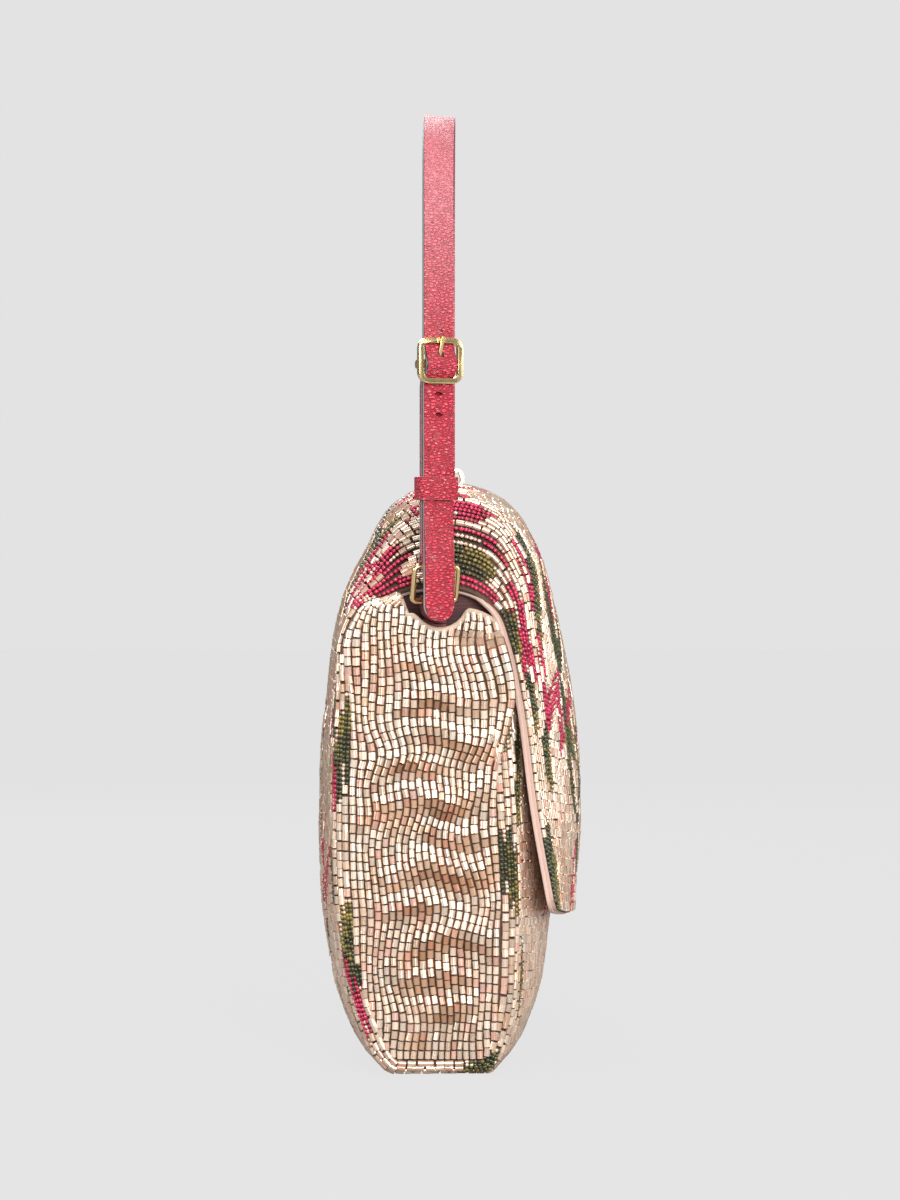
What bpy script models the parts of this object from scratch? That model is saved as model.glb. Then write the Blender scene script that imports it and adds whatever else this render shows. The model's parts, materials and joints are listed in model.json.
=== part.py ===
"""Top handle bag: a soft beaded bag with a front flap and a buckled leather handle.

Front is -Y, the buckle end is -X and +Z is up. The origin is the middle of the base.
"""

import math

import bmesh
import bpy
from mathutils import Matrix, Vector

MM = 0.001

# Soft body
BODY_HALF = 130 * MM
CLOTH = 2.2 * MM
LINING = 1.0 * MM
SOFT_GAP = 0.3 * MM
CORNER_R = 5.0 * MM
GUSSET_DIP_Z = 149.5 * MM
GUSSET_DIP_HALF = 15 * MM
TAB_POCKET = 3.1 * MM

# Where the one long section is cut into panels, counted in rows of SECTION
FRONT_FOOT = 8
BACK_FOOT = 10
HINGE_ROW = 17
LAST_ROW = 27
FOOT_EASE = 0.5
FOOT_SEAM = 0.15

# Section rows from the front of the mouth, under the base, up the back and over to
# the flap's lower edge: y and z at mid width, y and z at the ends, in millimetres,
# and the power with which the shape goes from the middle to the ends.
SECTION = (
    (-26, 174, -14.5, 150, 4.0),
    (-36, 150, -19, 138, 3.0),
    (-41, 115, -22.5, 110, 2.5),
    (-42, 80, -24.5, 80, 2.5),
    (-38.5, 44, -25.5, 44, 2.5),
    (-33.5, 17, -23, 15, 2.5),
    (-27.5, 5.5, -19, 4, 2.5),
    (-21, 0.7, -16, 0.6, 2.5),
    (-16, 0, -12.5, 0, 2.5),
    (0, 0, 0, 0, 2.5),
    (16, 0, 12.5, 0, 2.5),
    (21, 0.7, 16.2, 0.6, 2.5),
    (28.5, 5.5, 20, 4, 2.5),
    (35.5, 18, 25.5, 15, 2.5),
    (41.5, 48, 33, 45, 2.5),
    (43, 88, 35.5, 85, 2.5),
    (40.5, 128, 34.5, 122, 2.5),
    (36.5, 152, 31, 152, 2.5),
    (33, 163, 26, 157, 5.0),
    (27, 175, 18, 157.6, 6.0),
    (15, 194, 9, 157.6, 6.0),
    (-3, 200, -1, 157.4, 6.0),
    (-21, 195, -11, 154.6, 6.0),
    (-34, 178, -18, 151.2, 5.0),
    (-41, 155, -22, 145, 3.5),
    (-47.5, 123, -27, 126, 2.5),
    (-50, 82, -32.5, 88, 2.5),
    (-47.5, 48.5, -39, 56, 2.5),
)

# Flap
FLAP_SHORT = 4 * MM
FLAP_HALF = BODY_HALF - FLAP_SHORT
FLAP_CORNER_R = 5 * MM
SNAP_Z = 80 * MM
SNAP_R = 7 * MM
SNAP_BASE = 1.6 * MM
SNAP_BOSS = 0.5 * MM
SNAP_BOSS_R = 3.6 * MM
SNAP_PLAY = 0.9 * MM

# Inside
POCKET_HALF = 62 * MM
POCKET_ROWS = (14.5, 16.5)
POCKET = 0.8 * MM
BOARD_HALF_X = 112 * MM
BOARD_HALF_Y = 9.5 * MM
BOARD = 1.5 * MM
BOARD_CORNER = 4 * MM

# Leather straps
STRAP_W = 10.5 * MM
STRAP = 1.8 * MM
FOLD = 1.0 * MM
FOLD_SPLIT = 0.15 * MM
LEATHER_GAP = 0.2 * MM
TWIST = math.radians(24)
TAIL_TIP_Z = 152 * MM
TIP_LENGTH = 5.5 * MM
HOLE_SPACING = 7.0 * MM
HOLE_W = 3.2 * MM
HOLE_H = 1.5 * MM
HOLE_ABOVE = 2.2 * MM
HOLE_BELOW = 3.4 * MM
FAR_STRAIGHT = 26 * MM
ARCH = ((135.4, 285), (132.0, 300), (121.5, 311.5), (104.0, 318.5), (76.0, 325.3), (40.0, 330), (0.0, 332.4))
KEEPER_Z = 196.2 * MM
KEEPER_H = 7.7 * MM
KEEPER = 1.5 * MM

# Rings and their tabs
RING_W = 17.6 * MM
RING_H = 13.6 * MM
RING_BAR = 1.8 * MM
RING_CORNER = 2.5 * MM
RING_PROUD = 1.0 * MM
RING_FOOT_X = BODY_HALF + RING_PROUD
RING_FOOT_Z = 158.6 * MM
RING_LEAN = math.radians(12)
RING_SHIFT = -0.6 * MM
TAB_W = 8.5 * MM
TAB = 1.0 * MM
TAB_FOOT_Z = 118 * MM
TAB_TOP_Z = 152.5 * MM
TAB_SWING_R = 7.5 * MM

# Buckle
BUCKLE_Z = 238.7 * MM
BUCKLE_W = 16.0 * MM
BUCKLE_H = 15.3 * MM
BUCKLE_BAR = 1.8 * MM
BUCKLE_CORNER = 3.6 * MM
PIN_DROP = 1.3 * MM
PIN_BACK = 1.6 * MM
PIN_R = 0.7 * MM
LUG_R = 1.5 * MM
METAL_GAP = 0.15 * MM
RUN_GAP = 0.08 * MM
TONGUE_R = 0.7 * MM
TONGUE_HUB_R = 1.5 * MM
TONGUE_HUB_W = 1.8 * MM
TONGUE_SLOT = 2.5 * MM
TONGUE_LIFT = math.radians(12)

# Snap hook
EYE_H = 8.0 * MM
EYE_TOP_Z = 211.0 * MM
EYE_BAR = 1.8 * MM
EYE_CORNER = 3.0 * MM
STEM_R = 1.0 * MM
STEM_HEAD_R = 1.8 * MM
STEM_HEAD = 0.9 * MM
BOSS_R = 2.6 * MM
HOOK_T = 5.0 * MM
HOOK_WIRE = 2.4 * MM
HOOK_BOW_R = 4.5 * MM
HOOK_SHOULDER_Z = 188.0 * MM
HOOK_NECK_HALF = 2.2 * MM
HOOK_NECK_RISE = 8.4 * MM
HOOK_COLLAR_R = 3.0 * MM
HOOK_COLLAR = 3.0 * MM
GATE_FOOT_Z = 177.2 * MM
GATE_TOP_Z = 185.3 * MM
GATE_PIVOT_Z = 188.0 * MM
GATE_PIVOT_U = 4.2 * MM
GATE_PIN_R = 0.5 * MM
GATE_TONGUE = 1.4 * MM
GATE_TONGUE_R = 1.5 * MM
GATE_SLOT = 3.2 * MM
GATE_OPEN = math.radians(25)
GATE_THUMB = 1.2 * MM
SPRING_W = 0.9 * MM
SPRING_R = 1.25 * MM
FOLD_BACK_Z = 236.0 * MM

ROUND_STEPS = 24
SMOOTH_ANGLE = math.radians(40)


# Scene helpers


def clear_scene():
    for found in list(bpy.data.objects):
        bpy.data.objects.remove(found, do_unlink=True)


def material(name, colour, roughness, metallic=0.0):
    made = bpy.data.materials.new(name)
    made.use_nodes = True
    shader = made.node_tree.nodes["Principled BSDF"]
    shader.inputs["Base Color"].default_value = (*colour, 1.0)
    shader.inputs["Roughness"].default_value = roughness
    shader.inputs["Metallic"].default_value = metallic
    made.diffuse_color = (*colour, 1.0)
    return made


def add_object(name, bm, finish, parent=None, smooth=True):
    mesh = bpy.data.meshes.new(name)
    bm.to_mesh(mesh)
    bm.free()
    if finish:
        mesh.materials.append(finish)
    if smooth:
        mesh.shade_smooth()
        mesh.set_sharp_from_angle(angle=SMOOTH_ANGLE)
    made = bpy.data.objects.new(name, mesh)
    bpy.context.scene.collection.objects.link(made)
    made.parent = parent
    return made


def add_empty(name, location, turn_z=0.0):
    made = bpy.data.objects.new(name, None)
    made.location = location
    made.rotation_euler = (0.0, 0.0, turn_z)
    bpy.context.scene.collection.objects.link(made)
    return made


def combine(target, name, bm, operation):
    """Cuts or adds a hidden shape, which moves with the target."""
    tool = add_object(name, bm, None, target.parent, smooth=False)
    tool.matrix_local = target.matrix_local.copy()
    tool.hide_render = True
    tool.display_type = "WIRE"
    step = target.modifiers.new(name, "BOOLEAN")
    step.operation = operation
    step.solver = "EXACT"
    step.object = tool
    return tool


# Plane shapes


def arc(centre_a, centre_b, radius, start, end, steps):
    """Points on an arc, its angles in degrees."""
    turns = [math.radians(start + (end - start) * i / steps) for i in range(steps + 1)]
    return [(centre_a + radius * math.cos(t), centre_b + radius * math.sin(t)) for t in turns]


def rounded_rectangle(width, height, radius, steps=4):
    a = width / 2 - radius
    b = height / 2 - radius
    points = []
    for centre_a, centre_b, start in ((a, b, 0), (-a, b, 90), (-a, -b, 180), (a, -b, 270)):
        points += arc(centre_a, centre_b, radius, start, start + 90, steps)
    return points


def prism(outline, low, high, place):
    """A closed solid over an outline of (a, b), where place(a, b, c) gives the point."""
    bm = bmesh.new()
    face = bm.faces.new([bm.verts.new((a, b, low)) for a, b in outline])
    raised = bmesh.ops.extrude_face_region(bm, geom=[face], use_keep_orig=True)["geom"]
    tops = [v for v in raised if isinstance(v, bmesh.types.BMVert)]
    bmesh.ops.translate(bm, verts=tops, vec=(0, 0, high - low))
    for v in bm.verts:
        v.co = Vector(place(*v.co))
    face_outward(bm)
    return bm


def framed_plate(outer, inner, low, high, place):
    """A plate with one window, where outer and inner have as many points."""
    bm = bmesh.new()
    rings = [[bm.verts.new((a, b, low)) for a, b in ring] for ring in (outer, inner)]
    count = len(outer)
    faces = []
    for i in range(count):
        j = (i + 1) % count
        faces.append(bm.faces.new((rings[0][i], rings[0][j], rings[1][j], rings[1][i])))
    raised = bmesh.ops.extrude_face_region(bm, geom=faces, use_keep_orig=True)["geom"]
    tops = [v for v in raised if isinstance(v, bmesh.types.BMVert)]
    bmesh.ops.translate(bm, verts=tops, vec=(0, 0, high - low))
    for v in bm.verts:
        v.co = Vector(place(*v.co))
    face_outward(bm)
    return bm


def face_outward(bm):
    bm.normal_update()
    bmesh.ops.recalc_face_normals(bm, faces=bm.faces)


def cylinder(radius, low, high, place, steps=ROUND_STEPS):
    return prism(arc(0, 0, radius, 0, 360 - 360 / steps, steps - 1), low, high, place)


def upright(a, b, c):
    return (a, b, c)


def across_y(a, b, c):
    """Outline in X and Z, depth along Y."""
    return (a, c, b)


def along_x(a, b, c):
    """Outline in Y and Z, depth along X."""
    return (c, a, b)


def joined_arcs(points, count):
    """Equal steps along a smooth curve through the points, as vectors."""
    vectors = [Vector(p) for p in points]
    fine = []
    for i in range(len(vectors) - 1):
        for k in range(24):
            fine.append(smooth_curve(vectors, i + k / 24))
    fine.append(vectors[-1])
    lengths = [0.0]
    for a, b in zip(fine, fine[1:]):
        lengths.append(lengths[-1] + (b - a).length)
    found = []
    at = 0
    for i in range(count + 1):
        want = lengths[-1] * i / count
        while at < len(fine) - 2 and lengths[at + 1] < want:
            at += 1
        share = (want - lengths[at]) / (lengths[at + 1] - lengths[at])
        found.append(fine[at].lerp(fine[at + 1], min(max(share, 0.0), 1.0)))
    return found


def smooth_curve(points, t):
    """The point at t, counted in points, on a curve whose slopes follow the spacing."""
    last = len(points) - 1
    i = min(max(int(math.floor(t)), 0), last - 1)
    f = t - i
    a, b = points[i], points[i + 1]
    before = points[i - 1] if i > 0 else a + (a - b)
    after = points[i + 2] if i + 2 <= last else b + (b - a)
    span = max((b - a).length, 1e-9)
    span_before = max((a - before).length, 1e-9)
    span_after = max((after - b).length, 1e-9)
    slope_a = ((a - before) / span_before * span + (b - a) * span_before / span) * (
        1 / (span + span_before)
    )
    slope_b = ((b - a) / span * span_after + (after - b) * span / span_after) * (
        1 / (span + span_after)
    )
    slope_a *= span
    slope_b *= span
    f2 = f * f
    f3 = f2 * f
    return (
        a * (2 * f3 - 3 * f2 + 1)
        + slope_a * (f3 - 2 * f2 + f)
        + b * (-2 * f3 + 3 * f2)
        + slope_b * (f3 - f2)
    )


# The bag's surface


def section_points(x):
    """The section's rows at x, as vectors in metres."""
    share = min(abs(x) / BODY_HALF, 1.0)
    rows = []
    for mid_y, mid_z, end_y, end_z, power in SECTION:
        s = share**power
        rows.append(Vector((x, (mid_y + (end_y - mid_y) * s) * MM, (mid_z + (end_z - mid_z) * s) * MM)))
    return rows


def body_point(q, row):
    """The outer surface of the body: q is -1 to 1 along the width, and the last unit
    on either side, up to 2, goes round the corner into the end."""
    side = -1.0 if q < 0 else 1.0
    flat_half = BODY_HALF - CORNER_R
    turn = max(abs(q) - 1.0, 0.0) * math.pi / 2
    x = side * (flat_half * min(abs(q), 1.0) + CORNER_R * math.sin(turn))
    point = section_at(x, row)
    drawn_in = CORNER_R * (1 - math.cos(turn))
    point += section_inward(x, row) * drawn_in
    return point


def section_at(x, row):
    point = smooth_curve(section_points(x), row)
    point.x = x
    past_base = max(FRONT_FOOT - row, row - BACK_FOOT, 0.0)
    share = min(past_base / FOOT_EASE, 1.0)
    point.z = max(point.z, 0.0) * share * share * (3 - 2 * share)
    return point


def section_inward(x, row):
    """The unit direction into the bag, in the section's plane."""
    step = 0.02
    along = section_at(x, min(row + step, LAST_ROW)) - section_at(x, max(row - step, 0))
    inward = Vector((0, -along.z, along.y)).normalized()
    if row < HINGE_ROW:
        centre = Vector((x, 0, 0.6 * section_at(x, 0).z))
    else:
        centre = Vector((x, 0, 0.5 * section_at(x, HINGE_ROW).z))
    if inward.dot(centre - section_at(x, row)) < 0:
        inward.negate()
    return inward


def flap_point(q, row):
    """The outer surface of the flap, its lower corners rounded."""
    x = FLAP_HALF * q
    past = max(abs(x) - (FLAP_HALF - FLAP_CORNER_R), 0.0)
    cut = FLAP_CORNER_R - math.sqrt(max(FLAP_CORNER_R**2 - past**2, 0.0))
    front = max(row - (LAST_ROW - 3), 0.0) / 3
    length = (section_at(x, LAST_ROW) - section_at(x, LAST_ROW - 1)).length
    return section_at(x, row - front**2 * cut / length)


def inset(point, q, row, depth):
    """The point that lies depth inside the surface given by point(q, row)."""
    step_q = 0.004
    step_row = 0.02
    limit_q = 2.0 if point is body_point else 1.0
    low_q, high_q = max(q - step_q, -limit_q), min(q + step_q, limit_q)
    low_row, high_row = max(row - step_row, 0.0), min(row + step_row, LAST_ROW)
    along_q = point(high_q, row) - point(low_q, row)
    along_row = point(q, high_row) - point(q, low_row)
    inward = along_q.cross(along_row).normalized()
    here = point(q, row)
    centre = Vector((0.5 * here.x, 0, 0.085))
    if inward.dot(centre - here) < 0:
        inward.negate()
    if here.z <= 1e-6:
        inward = Vector((0, 0, 1))
    return here + inward * depth


def sheet(point, q_values, rows, near, far):
    """A solid sheet between two depths under a surface."""
    bm = bmesh.new()
    count_q, count_row = len(q_values) - 1, len(rows) - 1
    bmesh.ops.create_grid(bm, x_segments=count_q, y_segments=count_row, size=1.0)
    raised = bmesh.ops.extrude_face_region(bm, geom=bm.faces[:], use_keep_orig=True)["geom"]
    tops = [v for v in raised if isinstance(v, bmesh.types.BMVert)]
    bmesh.ops.translate(bm, verts=tops, vec=(0, 0, 1))
    for v in bm.verts:
        i = round((v.co.x + 1) / 2 * count_q)
        j = round((v.co.y + 1) / 2 * count_row)
        depth = near if v.co.z < 0.5 else far
        v.co = inset(point, q_values[i], rows[j], depth)
    face_outward(bm)
    return bm


def spread(half_count):
    """Values from -1 to 1, closer together towards the ends."""
    return [math.sin(math.pi / 2 * i / half_count) for i in range(-half_count, half_count + 1)]


def row_values(first, last):
    """The rows at which every soft piece is cut, so that neighbours' facets agree."""
    found = [first]
    row = 0.0
    while row < last - 0.08:
        if row > first + 0.08:
            found.append(row)
        row += 0.25 if abs(row - HINGE_ROW) < 0.6 else 0.5
    return found + [last]


def row_step(row, distance):
    """How much of a row makes this distance at mid width."""
    return distance * 0.1 / (section_at(0, row + 0.05) - section_at(0, row - 0.05)).length


BODY_Q = [-2, -1.667, -1.333] + spread(7) + [1.333, 1.667, 2]
FLAP_Q = spread(9)


def end_outline(x, depth, first, last):
    """(y, z) points of the section at x, drawn in by depth."""
    points = []
    for row in row_values(first, last):
        p = section_at(x, row) + section_inward(x, row) * depth
        points.append((p.y, p.z))
    return points


# Soft pieces


def build_panels(cloth):
    half_step = row_step(HINGE_ROW, SOFT_GAP / 2)
    front_seam, back_seam = FRONT_FOOT + FOOT_SEAM, BACK_FOOT - FOOT_SEAM
    foot_step = row_step(front_seam, SOFT_GAP / 2)
    for name, first, last in (
        ("front_panel", 0, front_seam - foot_step),
        ("bottom_panel", front_seam + foot_step, back_seam - foot_step),
        ("back_panel", back_seam + foot_step, HINGE_ROW - half_step),
    ):
        bm = sheet(body_point, BODY_Q, row_values(first, last), 0.0, CLOTH)
        add_object(name, bm, cloth)


def build_gusset(name, side, cloth):
    """An end panel, flush with the rounded edge of the panels around it."""
    around = end_outline(side * BODY_HALF, CORNER_R + SOFT_GAP, 0, HINGE_ROW)
    back_top = around[-1]
    front_top = around[0]
    middle = (back_top[0] + front_top[0]) / 2
    dip = [
        (middle + GUSSET_DIP_HALF, GUSSET_DIP_Z + 1.2 * MM),
        (middle + GUSSET_DIP_HALF * 0.7, GUSSET_DIP_Z),
        (middle - GUSSET_DIP_HALF * 0.7, GUSSET_DIP_Z),
        (middle - GUSSET_DIP_HALF, GUSSET_DIP_Z + 1.2 * MM),
    ]
    inner = side * (BODY_HALF - CLOTH)
    outer = side * BODY_HALF
    bm = prism(around + dip, min(inner, outer), max(inner, outer), along_x)
    return add_object(name, bm, cloth)


def lining_depth():
    return CLOTH + SOFT_GAP


def lining_half():
    return BODY_HALF - CLOTH - TAB_POCKET


def build_lining(cloth):
    """The inner bag: a strip under the panels and an end wall on each side."""
    near, far = lining_depth(), lining_depth() + LINING
    top = row_step(HINGE_ROW, 2.5 * MM)
    mouth = row_step(1, 3.0 * MM)
    q_end = lining_half() / (BODY_HALF - CORNER_R)
    q_values = [q * q_end for q in spread(7)]
    rows = row_values(mouth, HINGE_ROW - top)
    made = add_object("lining", sheet(straight_point, q_values, rows, near, far), cloth)
    for side in (-1, 1):
        x = side * (lining_half() - LINING / 2)
        middle = near + LINING / 2
        outline = end_outline(x, middle, mouth + 0.1, HINGE_ROW - top - 0.1)
        low, high = sorted((x, x - side * LINING))
        bm = prism(outline, low, high, along_x)
        combine(made, "lining end", bm, "UNION")
    return made


def straight_point(q, row):
    """The section's surface with no rounded corners."""
    return section_at((BODY_HALF - CORNER_R) * q, row)


def build_inside(cloth, board_finish):
    under = lining_depth() + LINING + SOFT_GAP
    q_half = POCKET_HALF / (BODY_HALF - CORNER_R)
    q_end = lining_half() / (BODY_HALF - CORNER_R)
    q_values = [-q_half] + [q * q_end for q in spread(7) if abs(q * q_end) < 0.95 * q_half] + [q_half]
    rows = row_values(*POCKET_ROWS)
    bm = sheet(straight_point, q_values, rows, under, under + POCKET)
    add_object("slip_pocket", bm, cloth)
    corners = rounded_rectangle(2 * BOARD_HALF_X, 2 * BOARD_HALF_Y, BOARD_CORNER, 3)
    add_object("base_board", prism(corners, under, under + BOARD, upright), board_finish)


def build_flap(cloth, leather, hinge):
    start = HINGE_ROW + row_step(HINGE_ROW, SOFT_GAP / 2)
    rows = row_values(start, LAST_ROW)
    outer = add_object("flap_panel", sheet(flap_point, FLAP_Q, rows, 0.0, CLOTH), cloth)
    near = CLOTH + SOFT_GAP
    bm = sheet(flap_point, FLAP_Q, rows, near, near + LINING)
    inner = add_object("flap_lining", bm, leather)
    for piece in (outer, inner):
        carry(piece, hinge)


def carry(piece, empty):
    """Parents a piece whose mesh is in world places to an empty."""
    piece.parent = empty
    piece.matrix_parent_inverse = empty.matrix_basis.inverted()


def front_row_at(z):
    """The row of the front panel whose height at mid width is z."""
    low, high = 0.0, float(FRONT_FOOT)
    for _ in range(40):
        middle = (low + high) / 2
        if section_at(0, middle).z > z:
            low = middle
        else:
            high = middle
    return low


def flap_row_at(z):
    """The row of the flap's front whose height at mid width is z."""
    low, high = float(LAST_ROW - 5), float(LAST_ROW)
    for _ in range(40):
        middle = (low + high) / 2
        if section_at(0, middle).z > z:
            low = middle
        else:
            high = middle
    return low


def build_snaps(metal, hinge):
    """Two flat magnets that meet face to face behind the flap."""
    body_row = front_row_at(SNAP_Z)
    body_y = min(
        section_at(0, front_row_at(SNAP_Z + SNAP_R)).y,
        section_at(0, front_row_at(SNAP_Z - SNAP_R)).y,
        section_at(0, body_row).y,
    )
    near = CLOTH + SOFT_GAP + LINING
    flap_y = max(
        inset(flap_point, 0, flap_row_at(SNAP_Z + r), near).y for r in (-SNAP_R, 0, SNAP_R)
    )

    def disc(a, b, c):
        return (a, c, SNAP_Z + b)

    body_face = body_y - SOFT_GAP - SNAP_BASE
    bm = cylinder(SNAP_R, body_face, body_y - SOFT_GAP, disc)
    body_half = add_object("snap_body_half", bm, metal)
    boss = cylinder(SNAP_BOSS_R, body_face - SNAP_BOSS, body_face + SNAP_BASE / 2, disc)
    combine(body_half, "snap boss", boss, "UNION")
    low, high = flap_y + SOFT_GAP, body_face - SOFT_GAP
    flap_half = add_object("snap_flap_half", cylinder(SNAP_R, low, high, disc), metal)
    recess = cylinder(SNAP_BOSS_R + SNAP_PLAY, high - SNAP_BOSS - 0.1 * MM, high + MM, disc)
    combine(flap_half, "snap recess", recess, "DIFFERENCE")
    carry(flap_half, hinge)
    carry(flap_half.modifiers[0].object, hinge)


# Bands of leather


def band(path, sides, widths, thickness, closed=False):
    """A flat band along a path: sides holds its width direction at each point."""
    count = len(path)
    bm = bmesh.new()
    rings = []
    for i, here in enumerate(path):
        before = path[(i - 1) % count] if closed or i > 0 else here
        after = path[(i + 1) % count] if closed or i < count - 1 else here
        tangent = (after - before).normalized()
        side = sides[i]
        normal = tangent.cross(side).normalized()
        ring = []
        for a, b in ((-1, -1), (1, -1), (1, 1), (-1, 1)):
            ring.append(bm.verts.new(here + side * (a * widths[i] / 2) + normal * (b * thickness / 2)))
        rings.append(ring)
    pairs = list(zip(rings, rings[1:]))
    if closed:
        pairs.append((rings[-1], rings[0]))
    for first, second in pairs:
        for k in range(4):
            m = (k + 1) % 4
            bm.faces.new((first[k], first[m], second[m], second[k]))
    if not closed:
        bm.faces.new(list(reversed(rings[0])))
        bm.faces.new(rings[-1])
    face_outward(bm)
    return bm


def leg_axis_x():
    """How far out the near leg's own origin lies: its ring foot is on the tab."""
    return RING_FOOT_X + ring_foot_out() * math.cos(TWIST)


def tail_out():
    """The tail's middle, behind the buckle's bottom bar."""
    return -(BUCKLE_BAR / 2 + LEATHER_GAP + STRAP / 2)


def fold_out():
    """The middle of the doubled buckle strap, behind the tail."""
    return tail_out() - STRAP / 2 - LEATHER_GAP - FOLD - FOLD_SPLIT / 2


def ring_rise():
    return (RING_H - RING_BAR) * math.cos(RING_LEAN)


def ring_foot_out():
    return -fold_out() + (RING_H - RING_BAR) * math.sin(RING_LEAN)


def ring_top_z():
    return RING_FOOT_Z + ring_rise()


def pin_z():
    return BUCKLE_Z - PIN_DROP


def eye_out():
    """How far a fold's middle line stands from the bar that it goes round."""
    return PIN_R + LEATHER_GAP + FOLD / 2


def bar_corner_rise():
    """How far the buckle bars' inner edges stand from the frame's middle."""
    return BUCKLE_H / 2 - BUCKLE_BAR


def wrap_bar():
    """How far the tail's middle line stands from a bar's edge that it bends round."""
    return LEATHER_GAP + STRAP / 2


def wrap_pin():
    """How far the tail's middle line stands from the pin's axis over the fold."""
    return eye_out() + FOLD / 2 + LEATHER_GAP + STRAP / 2


def bend_angle(rise):
    """How far the tail turns on its way from the pin to a bar at this height over it."""
    across = PIN_BACK - BUCKLE_BAR / 2
    return math.asin((wrap_bar() + wrap_pin()) / math.hypot(across, rise)) - math.atan2(across, rise)


def bend_below_pin(inside, start):
    """(out, z) points from over the pin to behind the lower bar, inside the tail's line."""
    low_bar = BUCKLE_Z - bar_corner_rise()
    turn = math.degrees(bend_angle(pin_z() - low_bar))
    points = arc(-PIN_BACK, pin_z(), wrap_pin() - inside, start, -turn, 8)
    return points + arc(-BUCKLE_BAR / 2, low_bar, wrap_bar() + inside, 180 - turn, 180, 5)


def ease_between(start, end, steps):
    """(out, z) points on a gentle S from start to end, without the start."""
    points = []
    for i in range(1, steps + 1):
        share = i / steps
        out = start[0] + (end[0] - start[0]) * (1 - math.cos(math.pi * share)) / 2
        points.append((out, start[1] + (end[1] - start[1]) * share))
    return points


def near_leg_path():
    """(out, z) points of the long strap through the buckle and down to its tip."""
    behind = tail_out()
    high_bar = BUCKLE_Z + bar_corner_rise()
    turn = math.degrees(bend_angle(high_bar - pin_z()))
    ring_face = fold_out() + RING_BAR / 2 + LEATHER_GAP + FOLD
    past_ring = ring_face + LEATHER_GAP + STRAP / 2
    points = [(behind, high_bar + 28 * MM), (behind, high_bar + 18 * MM), (behind, high_bar + 8 * MM)]
    points += arc(-BUCKLE_BAR / 2, high_bar, wrap_bar(), 180, 180 + turn, 4)
    points += bend_below_pin(0.0, turn)
    points += [(behind, BUCKLE_Z - BUCKLE_H), (behind, KEEPER_Z - 9 * MM)]
    points += ease_between(points[-1], (past_ring, ring_top_z() + 2 * MM), 5)
    for share in (1.0, 0.7, 0.42, 0.2, 0.06, 0.0):
        points.append((past_ring, TAIL_TIP_Z + TIP_LENGTH * share))
    return points


def out_of_leg(out, along_w, z):
    """World place of a point that is given from the near leg's own origin."""
    turn = Matrix.Rotation(TWIST, 3, "Z")
    return turn @ Vector((-out, along_w, 0)) + Vector((-leg_axis_x(), 0, z))


def far_leg_x():
    return RING_FOOT_X + (RING_H - RING_BAR) * math.sin(RING_LEAN)


def fold_radius():
    return EYE_BAR / math.sqrt(2) + LEATHER_GAP + STRAP / 2


def long_strap_path():
    """Points and width directions from the tail's tip, over the arch, to the far fold."""
    down = near_leg_path()
    down.reverse()
    path = [out_of_leg(out, 0, z) for out, z in down]
    near_x = -path[-1].x
    far_x = far_leg_x() + fold_radius()
    first_x = ARCH[0][0] * MM
    over = [Vector((-x * MM * near_x / first_x, path[-1].y * (x * MM / first_x), z * MM)) for x, z in ARCH]
    over += [Vector((x * MM * far_x / first_x, 0, z * MM)) for x, z in reversed(ARCH[:-1])]
    guide = [path[-1]] + over + [Vector((far_x, 0, FOLD_BACK_Z + FAR_STRAIGHT))]
    arch = joined_arcs(guide, 52)
    path += arch[1:]
    turned = len(path)
    eye_z = EYE_TOP_Z - EYE_BAR / 2
    middle_x = far_leg_x()
    drop = [(far_x, FOLD_BACK_Z + FAR_STRAIGHT * share) for share in (0.5, -0.25, -0.7)]
    drop += [(middle_x + a, eye_z + b) for a, b in arc(0, 0, fold_radius(), 0, -180, 10)]
    drop += [(middle_x - fold_radius(), eye_z + 4 * MM)]
    inner_x = far_x - STRAP - LEATHER_GAP
    drop += [(inner_x, eye_z + 12 * MM), (inner_x, FOLD_BACK_Z)]
    path += [Vector((x, 0, z)) for x, z in drop]
    crest = max(range(len(down), turned), key=lambda i: path[i].z)
    sides = []
    for i, here in enumerate(path):
        share = 0.0
        if i < len(down):
            share = 1.0
        elif i < crest:
            share = 1.0 - (i - len(down)) / (crest - len(down))
            share = share * share * (3 - 2 * share)
        tangent = (path[min(i + 1, len(path) - 1)] - path[max(i - 1, 0)]).normalized()
        flat = Vector((0, 1, 0))
        axis = tangent if i >= len(down) else Vector((0, 0, 1))
        turned_side = Matrix.Rotation(TWIST * share, 3, axis) @ flat
        sides.append((turned_side - tangent * turned_side.dot(tangent)).normalized())
    return path, sides


def tip_widths(path):
    """The strap's width at each point, rounded to a blunt point at the tail's tip."""
    widths = []
    gone = 0.0
    for i, here in enumerate(path):
        if i:
            gone += (here - path[i - 1]).length
        share = min(gone / TIP_LENGTH, 1.0)
        widths.append(STRAP_W * (0.12 + 0.88 * math.sqrt(max(1 - (1 - share) ** 2, 0.0))))
    return widths


def lens(width, height, steps=6):
    """A pointed oval, as (across, along) points."""
    turns = [math.pi * i / steps for i in range(steps + 1)]
    top = [(width / 2 * math.cos(t), height / 2 * math.sin(t) ** 1.5) for t in turns]
    return top + [(a, -b) for a, b in reversed(top[1:-1])]


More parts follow.
